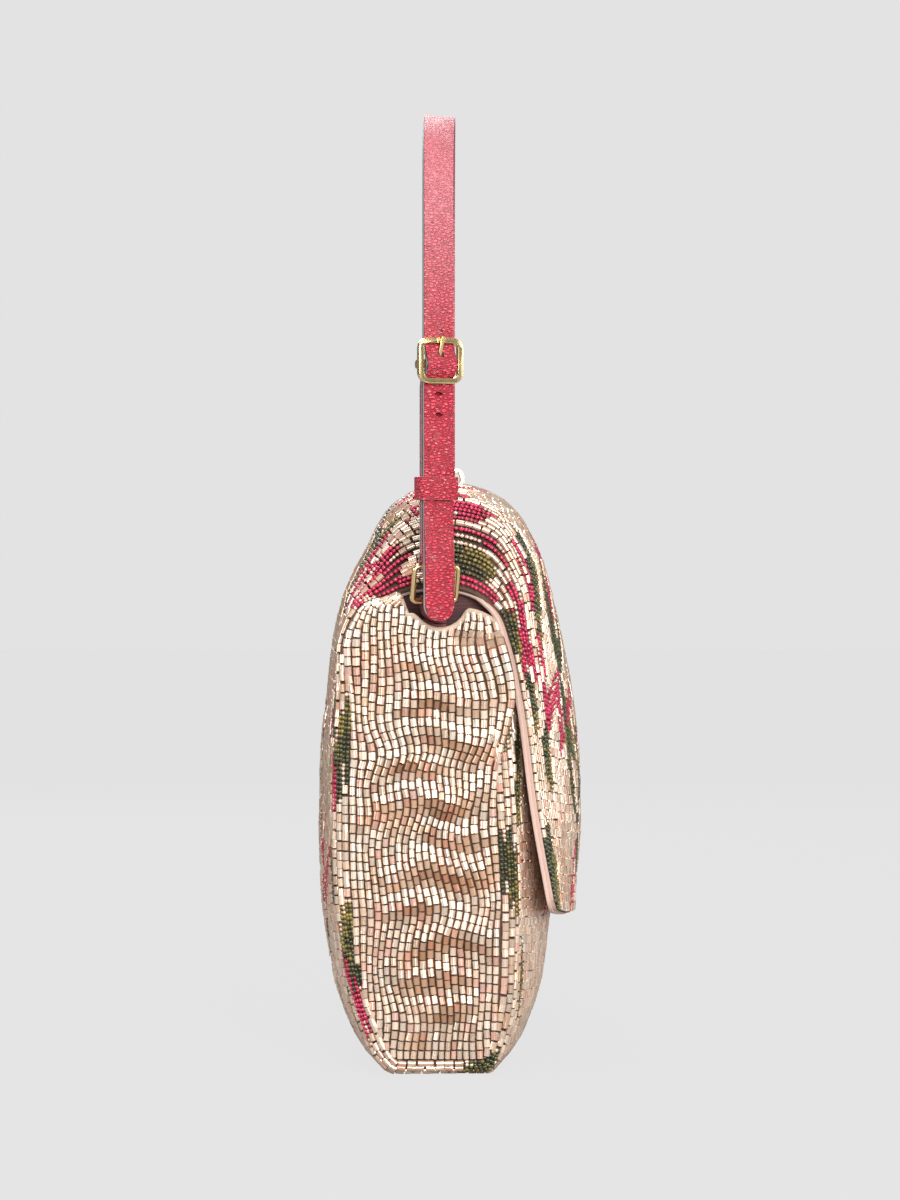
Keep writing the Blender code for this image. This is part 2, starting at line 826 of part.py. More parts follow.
def build_long_strap(leather, handle):
    path, sides = long_strap_path()
    bm = band(path, sides, tip_widths(path), STRAP)
    strap = add_object("handle_strap", bm, leather)
    high = BUCKLE_Z + BUCKLE_H / 2 + HOLE_ABOVE
    low = BUCKLE_Z - BUCKLE_H / 2 - HOLE_BELOW
    for name, z in (("hole above", high), ("hole below", low), ("lowest hole", low - HOLE_SPACING)):

        def place(a, b, c, z=z):
            return out_of_leg(c, a, z + b)

        bm = prism(lens(HOLE_W, HOLE_H), tail_out() - STRAP, tail_out() + STRAP, place)
        combine(strap, name, bm, "DIFFERENCE")
    combine(strap, "tongue passage", tongue_passage(), "DIFFERENCE")
    carry(strap, handle)
    for step in strap.modifiers:
        carry(step.object, handle)


def tongue_direction():
    """The angle of the closed tongue outward from upright, resting on the top bar."""
    across = PIN_BACK + BUCKLE_BAR / 2
    rise = bar_corner_rise() + PIN_DROP
    return math.atan2(across, rise) + math.asin((TONGUE_R + METAL_GAP) / math.hypot(across, rise))


def tongue_length():
    return (BUCKLE_H / 2 + PIN_DROP) / math.cos(tongue_direction()) + 0.4 * MM


def tongue_passage():
    """The slot that the tongue needs in the strap from rest to its full lift."""
    room = TONGUE_R + LEATHER_GAP
    start = tongue_direction()
    end = start + TONGUE_LIFT
    reach = tongue_length() + 2 * MM
    near = TONGUE_HUB_R + 0.6 * MM

    def at(angle, distance, aside):
        out = -PIN_BACK + distance * math.sin(angle) + aside * math.cos(angle)
        return (out, pin_z() + distance * math.cos(angle) - aside * math.sin(angle))

    outline = [
        at(start, near, -room),
        at(end, near, room),
        at(end, reach, room),
        at((start + end) / 2, reach * 1.02, 0),
        at(start, reach, -room),
    ]
    half = TONGUE_R + LEATHER_GAP

    def place(a, b, c):
        return out_of_leg(a, c, b)

    return prism(outline, -half, half, place)


def build_buckle_strap(leather, handle):
    """A short strap, doubled round the buckle's pin and round the ring."""
    apart = FOLD / 2 + FOLD_SPLIT / 2
    front, back = fold_out() + apart, fold_out() - apart
    eye = eye_out()
    ring_eye = RING_BAR / 2 + LEATHER_GAP + FOLD / 2
    low = BUCKLE_Z - BUCKLE_H / 2
    eyes_apart = 6 * MM
    points = bend_below_pin(wrap_pin() - eye, 30)
    points += [(front, low - 20 * MM), (front, ring_top_z() + eyes_apart)]
    points += [(fold_out() + a, ring_top_z() + b) for a, b in arc(0, 0, ring_eye, 10, -190, 12)]
    points += [(back, ring_top_z() + eyes_apart), (back, low - 20 * MM), (back, low - 1.0 * MM)]
    points += [(-PIN_BACK + a, pin_z() + b) for a, b in arc(0, 0, eye, 165, 60, 6)]
    path = [out_of_leg(out, 0, z) for out, z in points]
    side = out_of_leg(0, 1, 0) - out_of_leg(0, 0, 0)
    bm = band(path, [side] * len(path), [STRAP_W] * len(path), FOLD, closed=True)
    strap = add_object("buckle_strap", bm, leather)

    def place(a, b, c):
        return out_of_leg(a - PIN_BACK, c, pin_z() + b)

    reach = eye + FOLD
    foot = -TONGUE_HUB_R - LEATHER_GAP
    outline = [(-2 * reach, foot), (reach, foot), (reach, reach), (-2 * reach, reach)]
    slot = prism(outline, -TONGUE_SLOT / 2, TONGUE_SLOT / 2, place)
    combine(strap, "tongue slot", slot, "DIFFERENCE")
    carry(strap, handle)
    carry(strap.modifiers[0].object, handle)


def build_keeper(leather, slide):
    front = tail_out() + STRAP / 2
    back = fold_out() - FOLD - FOLD_SPLIT / 2
    middle = (front + back) / 2
    half_out = (front - back) / 2 + LEATHER_GAP
    half_w = STRAP_W / 2 + LEATHER_GAP
    inner = rounded_rectangle(2 * half_out, 2 * half_w, LEATHER_GAP, 3)
    outer = rounded_rectangle(2 * (half_out + KEEPER), 2 * (half_w + KEEPER), LEATHER_GAP + KEEPER, 3)

    def place(a, b, c):
        return out_of_leg(a + middle, b, c)

    low, high = KEEPER_Z - KEEPER_H / 2, KEEPER_Z + KEEPER_H / 2
    carry(add_object("keeper", framed_plate(outer, inner, low, high, place), leather), slide)


# Rings and tabs


def ring_curve(name, frame, finish):
    """A bent wire ring in its own frame, its foot at the frame's origin."""
    line = bpy.data.curves.new(name, "CURVE")
    line.dimensions = "3D"
    line.bevel_depth = RING_BAR / 2
    line.bevel_resolution = 1
    line.use_fill_caps = False
    spline = line.splines.new("POLY")
    shape = rounded_rectangle(RING_W - RING_BAR, RING_H - RING_BAR, RING_CORNER - RING_BAR / 2, 5)
    spline.points.add(len(shape) - 1)
    for point, (a, b) in zip(spline.points, shape):
        point.co = (0, a, b + (RING_H - RING_BAR) / 2, 1)
    spline.use_cyclic_u = True
    line.materials.append(finish)
    made = bpy.data.objects.new(name, line)
    bpy.context.scene.collection.objects.link(made)
    made.matrix_world = frame
    return made


def ring_frame(side):
    """The ring's own frame: its foot in the tab, its top leaning out."""
    lean = Matrix.Rotation(side * RING_LEAN, 4, "Y")
    if side < 0:
        foot = out_of_leg(-ring_foot_out(), RING_SHIFT, RING_FOOT_Z)
        return Matrix.Translation(foot) @ Matrix.Rotation(TWIST, 4, "Z") @ lean
    return Matrix.Translation((RING_FOOT_X, 0, RING_FOOT_Z)) @ lean


def tab_slot_x():
    return BODY_HALF - CLOTH - TAB_POCKET / 2


def swing_place(a, b, c):
    """Outline round the handle's swing axis, depth along X."""
    return (c, a, RING_FOOT_Z + b)


def build_ring(side, metal, leather, handle):
    """A ring, the leather loop that carries it and the loop's foot in the bag's end.

    The leather twists between loop and foot as the handle falls, so they part there.
    """
    word = "left" if side < 0 else "right"
    frame = ring_frame(side)
    foot = frame.translation
    carry(ring_curve(f"ring_{word}", frame, metal), handle)
    slot = tab_slot_x()
    half = TAB + FOLD_SPLIT / 2
    low, high = sorted((side * (slot - half), side * (slot + half)))
    y_low, y_high = foot.y - TAB_W / 2, foot.y + TAB_W / 2
    outline = [(y_low, TAB_FOOT_Z), (y_high, TAB_FOOT_Z), (y_high, TAB_TOP_Z), (y_low, TAB_TOP_Z)]
    tab = add_object(f"ring_tab_{word}", prism(outline, low, high, along_x), leather)
    room = cylinder(TAB_SWING_R + SOFT_GAP, low - MM, high + MM, swing_place)
    combine(tab, "loop's room", room, "DIFFERENCE")

    turn = Matrix.Rotation(TWIST if side < 0 else 0.0, 3, "Z")
    eye = RING_BAR / 2 + SOFT_GAP + TAB / 2
    apart = TAB / 2 + FOLD_SPLIT / 2
    foot_side = Vector((0, 1, 0))
    turned_side = turn @ foot_side
    half_side = (foot_side + turned_side).normalized()
    outer, inner = slot + apart, slot - apart
    path = [
        Vector((side * outer, foot.y, GUSSET_DIP_Z + 0.5 * MM)),
        Vector((side * (outer + 0.7 * MM), foot.y, GUSSET_DIP_Z + 3.5 * MM)),
    ]
    sides = [foot_side, half_side]
    for a, b in arc(0, 0, eye, -35, 195, 12):
        path.append(foot + turn @ Vector((side * a, 0, b)))
        sides.append(turned_side)
    path += [
        Vector((side * (inner + 0.4 * MM), foot.y, GUSSET_DIP_Z + 4.5 * MM)),
        Vector((side * inner, foot.y, GUSSET_DIP_Z + 0.5 * MM)),
    ]
    sides += [half_side, foot_side]
    bm = band(path, sides, [TAB_W] * len(path), TAB)
    loop = add_object(f"ring_loop_{word}", bm, leather)
    far = RING_FOOT_X + 2 * TAB_W
    low, high = sorted((side * (slot - TAB_W), side * far))
    combine(loop, "loop end", cylinder(TAB_SWING_R, low, high, swing_place), "INTERSECT")
    carry(loop, handle)
    carry(loop.modifiers[0].object, handle)


# Buckle


def build_buckle(metal, handle, pivot):
    def place(a, b, c):
        return out_of_leg(c, a, BUCKLE_Z + b)

    outer = rounded_rectangle(BUCKLE_W, BUCKLE_H, BUCKLE_CORNER)
    inside = 2 * BUCKLE_BAR
    inner = rounded_rectangle(BUCKLE_W - inside, BUCKLE_H - inside, BUCKLE_CORNER - BUCKLE_BAR)
    half = BUCKLE_BAR / 2
    frame = add_object("buckle_frame", framed_plate(outer, inner, -half, half, place), metal)
    lug_out = BUCKLE_W / 2 - 0.15 * MM
    lug_in = BUCKLE_W / 2 - BUCKLE_BAR + 0.15 * MM
    for side in (-1, 1):

        def lug_place(a, b, c):
            return out_of_leg(a - PIN_BACK, c, pin_z() + b)

        rim = arc(0, 0, LUG_R, 90, 270, 8) + [(PIN_BACK + half / 2, -LUG_R), (PIN_BACK + half / 2, LUG_R)]
        low, high = sorted((side * lug_in, side * lug_out))
        combine(frame, "pin lug", prism(rim, low, high, lug_place), "UNION")
    bore = cylinder(PIN_R + RUN_GAP, -BUCKLE_W, BUCKLE_W, lug_place)
    combine(frame, "pin bore", bore, "DIFFERENCE")
    carry(frame, handle)
    for step in frame.modifiers:
        carry(step.object, handle)
    pin = add_object("buckle_bar", cylinder(PIN_R, -BUCKLE_W / 2, BUCKLE_W / 2, lug_place), metal)
    carry(pin, handle)
    build_tongue(metal, pivot, lug_place)


def build_tongue(metal, pivot, lug_place):
    hub = cylinder(TONGUE_HUB_R, -TONGUE_HUB_W / 2, TONGUE_HUB_W / 2, lug_place)
    tongue = add_object("buckle_tongue", hub, metal)
    lean = tongue_direction()
    length = tongue_length()

    def rod_place(a, b, c):
        out = b * math.cos(lean) + c * math.sin(lean)
        rise = c * math.cos(lean) - b * math.sin(lean)
        return out_of_leg(out - PIN_BACK, a, pin_z() + rise)

    rod = cylinder(TONGUE_R, PIN_R + 0.3 * MM, length, rod_place, 12)
    combine(tongue, "tongue rod", rod, "UNION")
    bore = cylinder(PIN_R + RUN_GAP, -TONGUE_HUB_W, TONGUE_HUB_W, lug_place)
    combine(tongue, "tongue bore", bore, "DIFFERENCE")
    carry(tongue, pivot)
    for step in tongue.modifiers:
        carry(step.object, pivot)


# Snap hook


def hook_place(a, b, c):
    """Outline in (outward, up), depth across, at the far leg."""
    return (far_leg_x() + a, c, b)


def stem_place(a, b, c):
    return (far_leg_x() + a, b, c)


def bow_centre_z():
    return ring_top_z() - RING_BAR / 2 - METAL_GAP * 2 - HOOK_WIRE / 2 + HOOK_BOW_R


def build_hook_eye(metal, handle):
    middle = EYE_TOP_Z - EYE_H / 2

    def place(a, b, c):
        return (far_leg_x() + c, a, middle + b)

    outer = rounded_rectangle(RING_W, EYE_H, EYE_CORNER)
    inner = rounded_rectangle(RING_W - 2 * EYE_BAR, EYE_H - 2 * EYE_BAR, EYE_CORNER - EYE_BAR)
    eye = add_object("hook_eye", framed_plate(outer, inner, -EYE_BAR / 2, EYE_BAR / 2, place), metal)
    low = EYE_TOP_Z - EYE_H
    boss = cylinder(BOSS_R, low - 0.1 * MM, low + EYE_BAR + 0.1 * MM, stem_place)
    combine(eye, "swivel boss", boss, "UNION")
    bore = cylinder(STEM_R + RUN_GAP, low - MM, low + EYE_BAR + MM, stem_place)
    combine(eye, "swivel bore", bore, "DIFFERENCE")
    carry(eye, handle)
    for step in eye.modifiers:
        carry(step.object, handle)


def build_hook(metal, swivel, gate_pivot):
    bow_z = bow_centre_z()
    outer_r = HOOK_BOW_R + HOOK_WIRE / 2
    inner_r = HOOK_BOW_R - HOOK_WIRE / 2
    eye_low = EYE_TOP_Z - EYE_H - 0.1 * MM
    collar_z = eye_low - METAL_GAP
    shoulder = [(outer_r, 0), (outer_r - 0.7 * MM, 2.6 * MM), (3.4 * MM, 5.4 * MM)]
    shoulder.append((HOOK_NECK_HALF, HOOK_NECK_RISE))
    outline = arc(0, bow_z, outer_r, 180, 360, 14)
    outline += [(a, HOOK_SHOULDER_Z + b) for a, b in shoulder]
    neck_top = collar_z - 0.8 * HOOK_COLLAR
    outline += [(HOOK_NECK_HALF, neck_top), (-HOOK_NECK_HALF, neck_top)]
    outline += [(-a, HOOK_SHOULDER_Z + b) for a, b in reversed(shoulder)]
    half = HOOK_T / 2
    body = add_object("hook_body", prism(outline, -half, half, hook_place), metal)
    top_z = GATE_TOP_Z - 1.8 * MM
    window = arc(0, bow_z, inner_r, 180, 360, 12) + arc(0, top_z, inner_r, 0, 180, 12)
    combine(body, "hook window", prism(window, -HOOK_T, HOOK_T, hook_place), "DIFFERENCE")
    gap_low = GATE_FOOT_Z - 2 * METAL_GAP
    gap_high = GATE_TOP_Z + 1.0 * MM
    gap = [(1.0 * MM, gap_low + 1.2 * MM), (inner_r - 0.3 * MM, gap_low), (2 * outer_r, gap_low)]
    gap += [(2 * outer_r, gap_high), (1.0 * MM, gap_high)]
    combine(body, "gate gap", prism(gap, -HOOK_T, HOOK_T, hook_place), "DIFFERENCE")
    room = GATE_TONGUE_R + 2 * METAL_GAP
    knee, foot = knuckle_foot()
    swung = -knee * math.cos(GATE_OPEN) - foot * math.sin(GATE_OPEN) + 2 * METAL_GAP
    slot = [(GATE_PIVOT_U - swung, gap_high - MM), (2 * outer_r, gap_high - MM)]
    slot += [(2 * outer_r, GATE_PIVOT_Z + room), (GATE_PIVOT_U - room, GATE_PIVOT_Z + room)]
    combine(body, "tongue slot", prism(slot, -GATE_SLOT / 2, GATE_SLOT / 2, hook_place), "DIFFERENCE")

    def pin_place(a, b, c):
        return hook_place(a + GATE_PIVOT_U, b + GATE_PIVOT_Z, c)

    bore = cylinder(GATE_PIN_R + RUN_GAP, -HOOK_T, HOOK_T, pin_place, 12)
    combine(body, "pin bore", bore, "DIFFERENCE")
    collar = cylinder(HOOK_COLLAR_R, collar_z - HOOK_COLLAR, collar_z, stem_place)
    combine(body, "collar", collar, "UNION")
    head_low = EYE_TOP_Z - EYE_H + EYE_BAR + 0.1 * MM + METAL_GAP
    stem = cylinder(STEM_R, collar_z - MM, head_low + STEM_HEAD / 2, stem_place)
    combine(body, "stem", stem, "UNION")
    head = cylinder(STEM_HEAD_R, head_low, head_low + STEM_HEAD, stem_place)
    combine(body, "stem head", head, "UNION")
    build_gate(metal, gate_pivot, pin_place, inner_r, outer_r)
    pin = add_object("gate_pin", cylinder(GATE_PIN_R, -half, half, pin_place, 12), metal)
    spring_low = -GATE_SLOT / 2 + 2 * METAL_GAP + GATE_TONGUE + METAL_GAP
    ring = [arc(0, 0, r, 0, 345, 23) for r in (SPRING_R, GATE_PIN_R + METAL_GAP)]
    coil = framed_plate(ring[0], ring[1], spring_low, spring_low + SPRING_W, pin_place)
    spring = add_object("gate_spring", coil, metal)
    for piece in (body, pin, spring):
        carry(piece, swivel)
        for step in piece.modifiers:
            carry(step.object, swivel)


def knuckle_foot():
    """Where the gate's knuckle meets its bar, inward of and under the pivot."""
    return (-0.6 * GATE_TONGUE_R, GATE_TOP_Z - GATE_PIVOT_Z - MM)


def build_gate(metal, gate_pivot, pin_place, inner_r, outer_r):
    bar = [
        (inner_r, GATE_FOOT_Z),
        (outer_r, GATE_FOOT_Z),
        (outer_r, GATE_TOP_Z - 3.6 * MM),
        (outer_r + GATE_THUMB, GATE_TOP_Z - 2.3 * MM),
        (outer_r + 0.75 * GATE_THUMB, GATE_TOP_Z - 0.8 * MM),
        (outer_r, GATE_TOP_Z),
        (inner_r, GATE_TOP_Z),
    ]
    half = HOOK_T / 2 - 0.1 * MM
    gate = add_object("hook_gate", prism(bar, -half, half, hook_place), metal)
    low = -GATE_SLOT / 2 + 2 * METAL_GAP
    knee, foot = knuckle_foot()
    knuckle = arc(0, 0, GATE_TONGUE_R, 0, 180, 10) + [(knee, foot), (0.9 * GATE_TONGUE_R, foot)]
    combine(gate, "gate knuckle", prism(knuckle, low, low + GATE_TONGUE, pin_place), "UNION")
    bore = cylinder(GATE_PIN_R + RUN_GAP, -HOOK_T, HOOK_T, pin_place, 12)
    combine(gate, "gate bore", bore, "DIFFERENCE")
    carry(gate, gate_pivot)
    for step in gate.modifiers:
        carry(step.object, gate_pivot)


def main():
    clear_scene()
    beads = material("champagne glass beads", (0.80, 0.70, 0.55), 0.3)
    red = material("red grained leather", (0.72, 0.045, 0.08), 0.45)
    pink = material("dusty pink leather", (0.72, 0.46, 0.40), 0.5)
    brown = material("burgundy lining cloth", (0.14, 0.05, 0.045), 0.8)
    tab_leather = material("burgundy tab leather", (0.16, 0.045, 0.04), 0.55)
    board = material("base board", (0.13, 0.05, 0.045), 0.85)
    gold = material("pale gold metal", (0.89, 0.72, 0.40), 0.18, 1.0)
    steel = material("snap metal", (0.80, 0.66, 0.40), 0.3, 1.0)

    hinge_place = section_at(0, HINGE_ROW)
    flap_hinge = add_empty("flap hinge axis", hinge_place)
    handle = add_empty("handle swing axis", (0, 0, RING_FOOT_Z))
    slide = add_empty("keeper slide axis", out_of_leg(tail_out(), 0, KEEPER_Z))
    tongue_pivot = add_empty("tongue pivot axis", out_of_leg(-PIN_BACK, 0, pin_z()), TWIST)
    swivel = add_empty("hook swivel axis", (far_leg_x(), 0, EYE_TOP_Z - EYE_H))
    gate_pivot = add_empty("gate pivot axis", (far_leg_x() + GATE_PIVOT_U, 0, GATE_PIVOT_Z))

    build_panels(beads)
    build_gusset("gusset_left", -1, beads)
    build_gusset("gusset_right", 1, beads)
    build_lining(brown)
    build_inside(brown, board)
    build_flap(beads, pink, flap_hinge)
    build_snaps(steel, flap_hinge)
    build_long_strap(red, handle)
    build_buckle_strap(red, handle)
    build_keeper(red, slide)
    build_ring(-1, gold, tab_leather, handle)
    build_ring(1, gold, tab_leather, handle)
    build_buckle(gold, handle, tongue_pivot)
    build_hook_eye(gold, handle)
    build_hook(gold, swivel, gate_pivot)


main()
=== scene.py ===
"""Beaded top handle bag: cloth, beads, leather and metal over the fixed frame."""

import json
import math

import bmesh
import bpy
import numpy as np
from bpy.props import FloatProperty, FloatVectorProperty, IntProperty, PointerProperty
from mathutils import Matrix, Vector, noise

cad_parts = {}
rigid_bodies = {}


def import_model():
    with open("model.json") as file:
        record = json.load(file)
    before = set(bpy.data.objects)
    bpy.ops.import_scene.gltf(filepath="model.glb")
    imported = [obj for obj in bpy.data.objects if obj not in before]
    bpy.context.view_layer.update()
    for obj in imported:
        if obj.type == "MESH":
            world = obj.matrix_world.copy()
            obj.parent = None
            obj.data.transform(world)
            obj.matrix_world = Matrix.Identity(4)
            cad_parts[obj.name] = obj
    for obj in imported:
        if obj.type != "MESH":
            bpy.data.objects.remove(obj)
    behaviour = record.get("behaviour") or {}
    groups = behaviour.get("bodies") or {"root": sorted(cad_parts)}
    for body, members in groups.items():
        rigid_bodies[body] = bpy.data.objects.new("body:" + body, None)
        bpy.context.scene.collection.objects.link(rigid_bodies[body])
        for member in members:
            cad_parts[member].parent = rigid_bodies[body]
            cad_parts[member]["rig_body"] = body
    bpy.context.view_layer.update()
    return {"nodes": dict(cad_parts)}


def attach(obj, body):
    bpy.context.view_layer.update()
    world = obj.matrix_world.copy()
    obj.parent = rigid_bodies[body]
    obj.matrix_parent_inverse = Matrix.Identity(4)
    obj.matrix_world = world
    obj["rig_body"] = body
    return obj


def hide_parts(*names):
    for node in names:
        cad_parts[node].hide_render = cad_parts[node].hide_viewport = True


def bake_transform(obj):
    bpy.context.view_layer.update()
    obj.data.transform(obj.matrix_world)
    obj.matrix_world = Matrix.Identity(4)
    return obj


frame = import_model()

bl_info = {
    "name": "Beaded top handle bag",
    "version": (1, 0, 0),
    "blender": (4, 5, 0),
    "location": "3D View > Sidebar > Bag",
    "description": "Dresses the bag's frame with beaded cloth, leather and metal",
    "category": "Add Mesh",
}

MM = 0.001

# The bag's section, in millimetres: y and z at mid width, y and z at the ends, power
SECTION = np.array([
    (-26, 174, -14.5, 150, 4.0),
    (-36, 150, -19, 138, 3.0),
    (-41, 115, -22.5, 110, 2.5),
    (-42, 80, -24.5, 80, 2.5),
    (-38.5, 44, -25.5, 44, 2.5),
    (-33.5, 17, -23, 15, 2.5),
    (-27.5, 5.5, -19, 4, 2.5),
    (-21, 0.7, -16, 0.6, 2.5),
    (-16, 0, -12.5, 0, 2.5),
    (0, 0, 0, 0, 2.5),
    (16, 0, 12.5, 0, 2.5),
    (21, 0.7, 16.2, 0.6, 2.5),
    (28.5, 5.5, 20, 4, 2.5),
    (35.5, 18, 25.5, 15, 2.5),
    (41.5, 48, 33, 45, 2.5),
    (43, 88, 35.5, 85, 2.5),
    (40.5, 128, 34.5, 122, 2.5),
    (36.5, 152, 31, 152, 2.5),
    (33, 163, 26, 157, 5.0),
    (27, 175, 18, 157.6, 6.0),
    (15, 194, 9, 157.6, 6.0),
    (-3, 200, -1, 157.4, 6.0),
    (-21, 195, -11, 154.6, 6.0),
    (-34, 178, -18, 151.2, 5.0),
    (-41, 155, -22, 145, 3.5),
    (-47.5, 123, -27, 126, 2.5),
    (-50, 82, -32.5, 88, 2.5),
    (-47.5, 48.5, -39, 56, 2.5),
])

# Rows of that section: the feet of front and back, the hinge and the flap's edge
FRONT_FOOT, BACK_FOOT, HINGE, EDGE = 8, 10, 17, 27
HINGE_LOW, HINGE_HIGH = 16.6, 18.0
HINGE_LEATHER_LOW = 17.02

# Half widths, corners, insets and heights of body, flap and end panels, in millimetres
BODY_HALF = 130.0
MIDDLE = (0, 0, 85)
CORNER = 5.0
FLAT = BODY_HALF - CORNER
ROUND_CORNER = CORNER * math.pi / 2
FLAP_HALF = 126.0
FLAP_CORNER = 5.0
GUSSET_INSET = 5.0
NEAR_INSET = 0.9
GUSSET_LOW = 5.2
GUSSET_TOP = 162.0
NEAR_END_TOP = 154.0
HOOK_END_TOP = 150.4
EAR_LOW, EAR_REACH = 88.0, 46.0
FLAP_ROOM = 2.3
RING_Z = 158.6
LOOP_ROOM = 9.5
RIM_TOP = 157.5
RISE_X, RISE_LOW, RISE_TOP = 123.2, 141.0, 166.5

# How many faces an end panel and its strip of lining have, across and up
END_ACROSS, END_UP = 44, 104
RISE_ACROSS, RISE_UP = 24, 8

# How deep each layer lies under the bag's surface and how thick it is, in millimetres
BEAD_DEPTH = 0.55
BASE_BEAD_DEPTH = 1.02
CLOTH_DEPTH = 1.0
CLOTH_THICK = 1.1
FLAP_LEATHER_DEPTH = 2.2
FLAP_LEATHER_THICK = 1.3

# The room that a round bead takes across its column, in millimetres, and how many round
# beads a piece may hold for each tube bead
SEED_ROOM = 1.25
SEEDS_PER_TUBE = 1.35

# The thickness that a ring's wire loses as it is rounded, in millimetres
WIRE_LOSS = 0.22


# The bag's surface


def ease(t):
    """0 below 0, 1 above 1 and smooth between them."""
    t = np.clip(t, 0.0, 1.0)
    return t * t * (3 - 2 * t)


def unit(rows):
    """Each row at a length of one."""
    return rows / np.linalg.norm(rows, axis=1)[:, None]


def length_along(points):
    """Millimetres along a line of points, from its start."""
    return np.concatenate([[0], np.cumsum(np.linalg.norm(np.diff(points, axis=0), axis=1))])


def read_along(length, values, where):
    """The values of a line at places in millimetres along it."""
    return np.column_stack([np.interp(where, length, column) for column in values.T])


def heading(length, points, where, half):
    """Unit directions of a line at places along it, from half before each to half after it."""
    ahead = read_along(length, points, np.minimum(where + half, length[-1]))
    behind = read_along(length, points, np.maximum(where - half, 0))
    return unit(ahead - behind)


def section_line(x, rows):
    """Points (y, z) in millimetres of the section at x, for an array of rows."""
    share = min(abs(x) / BODY_HALF, 1.0)
    s = share ** SECTION[:, 4:5]
    points = SECTION[:, 0:2] * (1 - s) + SECTION[:, 2:4] * s
    steps = np.diff(points, axis=0)
    spans = np.linalg.norm(steps, axis=1)[:, None]
    before = np.vstack([steps[:1], steps])
    after = np.vstack([steps, steps[-1:]])
    span_before = np.vstack([spans[:1], spans])
    span_after = np.vstack([spans, spans[-1:]])
    slopes = before / span_before * span_after + after / span_after * span_before
    slopes /= span_before + span_after
    rows = np.asarray(rows, float)
    i = np.clip(np.floor(rows).astype(int), 0, len(points) - 2)
    f = (rows - i)[:, None]
    f2, f3 = f * f, f * f * f
    line = (
        points[i] * (2 * f3 - 3 * f2 + 1)
        + slopes[i] * spans[i] * (f3 - 2 * f2 + f)
        + points[i + 1] * (-2 * f3 + 3 * f2)
        + slopes[i + 1] * spans[i] * (f3 - f2)
    )
    past = np.maximum(np.maximum(FRONT_FOOT - rows, rows - BACK_FOOT), 0)
    eased = np.minimum(past / 0.5, 1.0)
    line[:, 1] = np.maximum(line[:, 1], 0) * eased * eased * (3 - 2 * eased)
    return line


def outward(line):
    """Unit directions (y, z) out of the bag along a section line."""
    along = np.gradient(line, axis=0)
    along /= np.maximum(np.linalg.norm(along, axis=1), 1e-9)[:, None]
    return np.stack([along[:, 1], -along[:, 0]], axis=1)


def billow(x, v):
    """How far the cloth swells or sinks, in millimetres, at x and a place v along it."""
    wide = noise.noise((x * 0.018, v * 0.03, 3.1))
    fine = noise.noise((x * 0.06, v * 0.07, 8.7))
    return 0.55 * wide + 0.3 * fine


def mouth_row(x):
    """The row where the front panel starts: it dips at the ends, under the swinging rings."""
    return 0.45 * ease((abs(x) - 112.0) / 12.0)


def strip_line(u, rows):
    """Points and outward directions along a strip at u millimetres across. Past the flat
    width u goes on round the corner into the end."""
    side = -1.0 if u < 0 else 1.0
    turn = min(max(abs(u) - FLAT, 0.0) / CORNER, math.pi / 2)
    x = side * (min(abs(u), FLAT) + CORNER * math.sin(turn))
    line = section_line(x, rows)
    out = outward(line)
    line = line - out * CORNER * (1 - math.cos(turn))
    points = np.column_stack([np.full(len(line), x), line])
    away = np.column_stack([np.full(len(line), side * math.sin(turn)), out * math.cos(turn)])
    return points, away


def flap_rows(x, first, last, count):
    """Rows along the flap at x, which stop short at its rounded lower corners."""
    past = max(abs(x) - (FLAP_HALF - FLAP_CORNER), 0.0)
    cut = FLAP_CORNER - math.sqrt(max(FLAP_CORNER**2 - past**2, 0.0))
    ends = section_line(x, [EDGE - 1, EDGE])
    share = cut / np.linalg.norm(ends[1] - ends[0])
    rows = np.linspace(first, last, count)
    front = np.maximum(rows - (EDGE - 3), 0) / 3
    return rows - front**2 * share


def edge_fade(u, half):
    """0 at the sides and 1 from 12 mm inside them."""
    return ease((half - abs(u)) / 12.0)


MID_ROWS = np.linspace(0, EDGE, EDGE * 20 + 1)
MID_LENGTH = length_along(section_line(0.0, MID_ROWS))


def mid_place(rows):
    """Millimetres along the bag at mid width, from the front of the mouth."""
    return np.interp(rows, MID_ROWS, MID_LENGTH)


def end_section(rows):
    """The section at the ends: the body's, which turns into the flap's over the hinge."""
    line = section_line(BODY_HALF, rows)
    return line + (section_line(FLAP_HALF, rows) - line) * ease((rows - 16.5) / 1.5)[:, None]


END_LINE = end_section(np.linspace(0, 22, 1100))
FLAP_END = section_line(FLAP_HALF, np.linspace(16.8, 21, 200))[::-1]


def top_edge(y, side):
    """Height of an end panel's top edge at y: a hollow under the ring, and at the back a
    shoulder that meets the flap. The hook end is lower, to let the hook swing."""
    bump = 1.6 * math.exp(-(((y + 10.0) / 4.0) ** 2))
    edge = NEAR_END_TOP + bump - 0.055 * max(-y - 12.5, 0.0) ** 2
    under_flap = np.interp(y, FLAP_END[:, 0], FLAP_END[:, 1]) - 0.2
    edge += (under_flap - edge) * ease((y - 10.5) / 4.0)
    if side > 0:
        edge = min(edge, HOOK_END_TOP)
    ring = RING_Z - math.sqrt(max(LOOP_ROOM**2 - y**2, 0.0)) + 8.0 * max(abs(y) - LOOP_ROOM, 0.0)
    soft = 1.1
    low = min(edge, ring)
    return low - math.log(math.exp(-soft * (edge - low)) + math.exp(-soft * (ring - low))) / soft


def inset(rows):
    """How far inside the section an end panel's edge lies: close to it at the hinge."""
    return GUSSET_INSET - (GUSSET_INSET - NEAR_INSET) * ease((rows - 15.7) / 1.2)


def ear(z):
    """0 low on an end panel and 1 near its mouth, where its front corner stands forward and
    meets the flap."""
    return ease((z - EAR_LOW) / EAR_REACH)


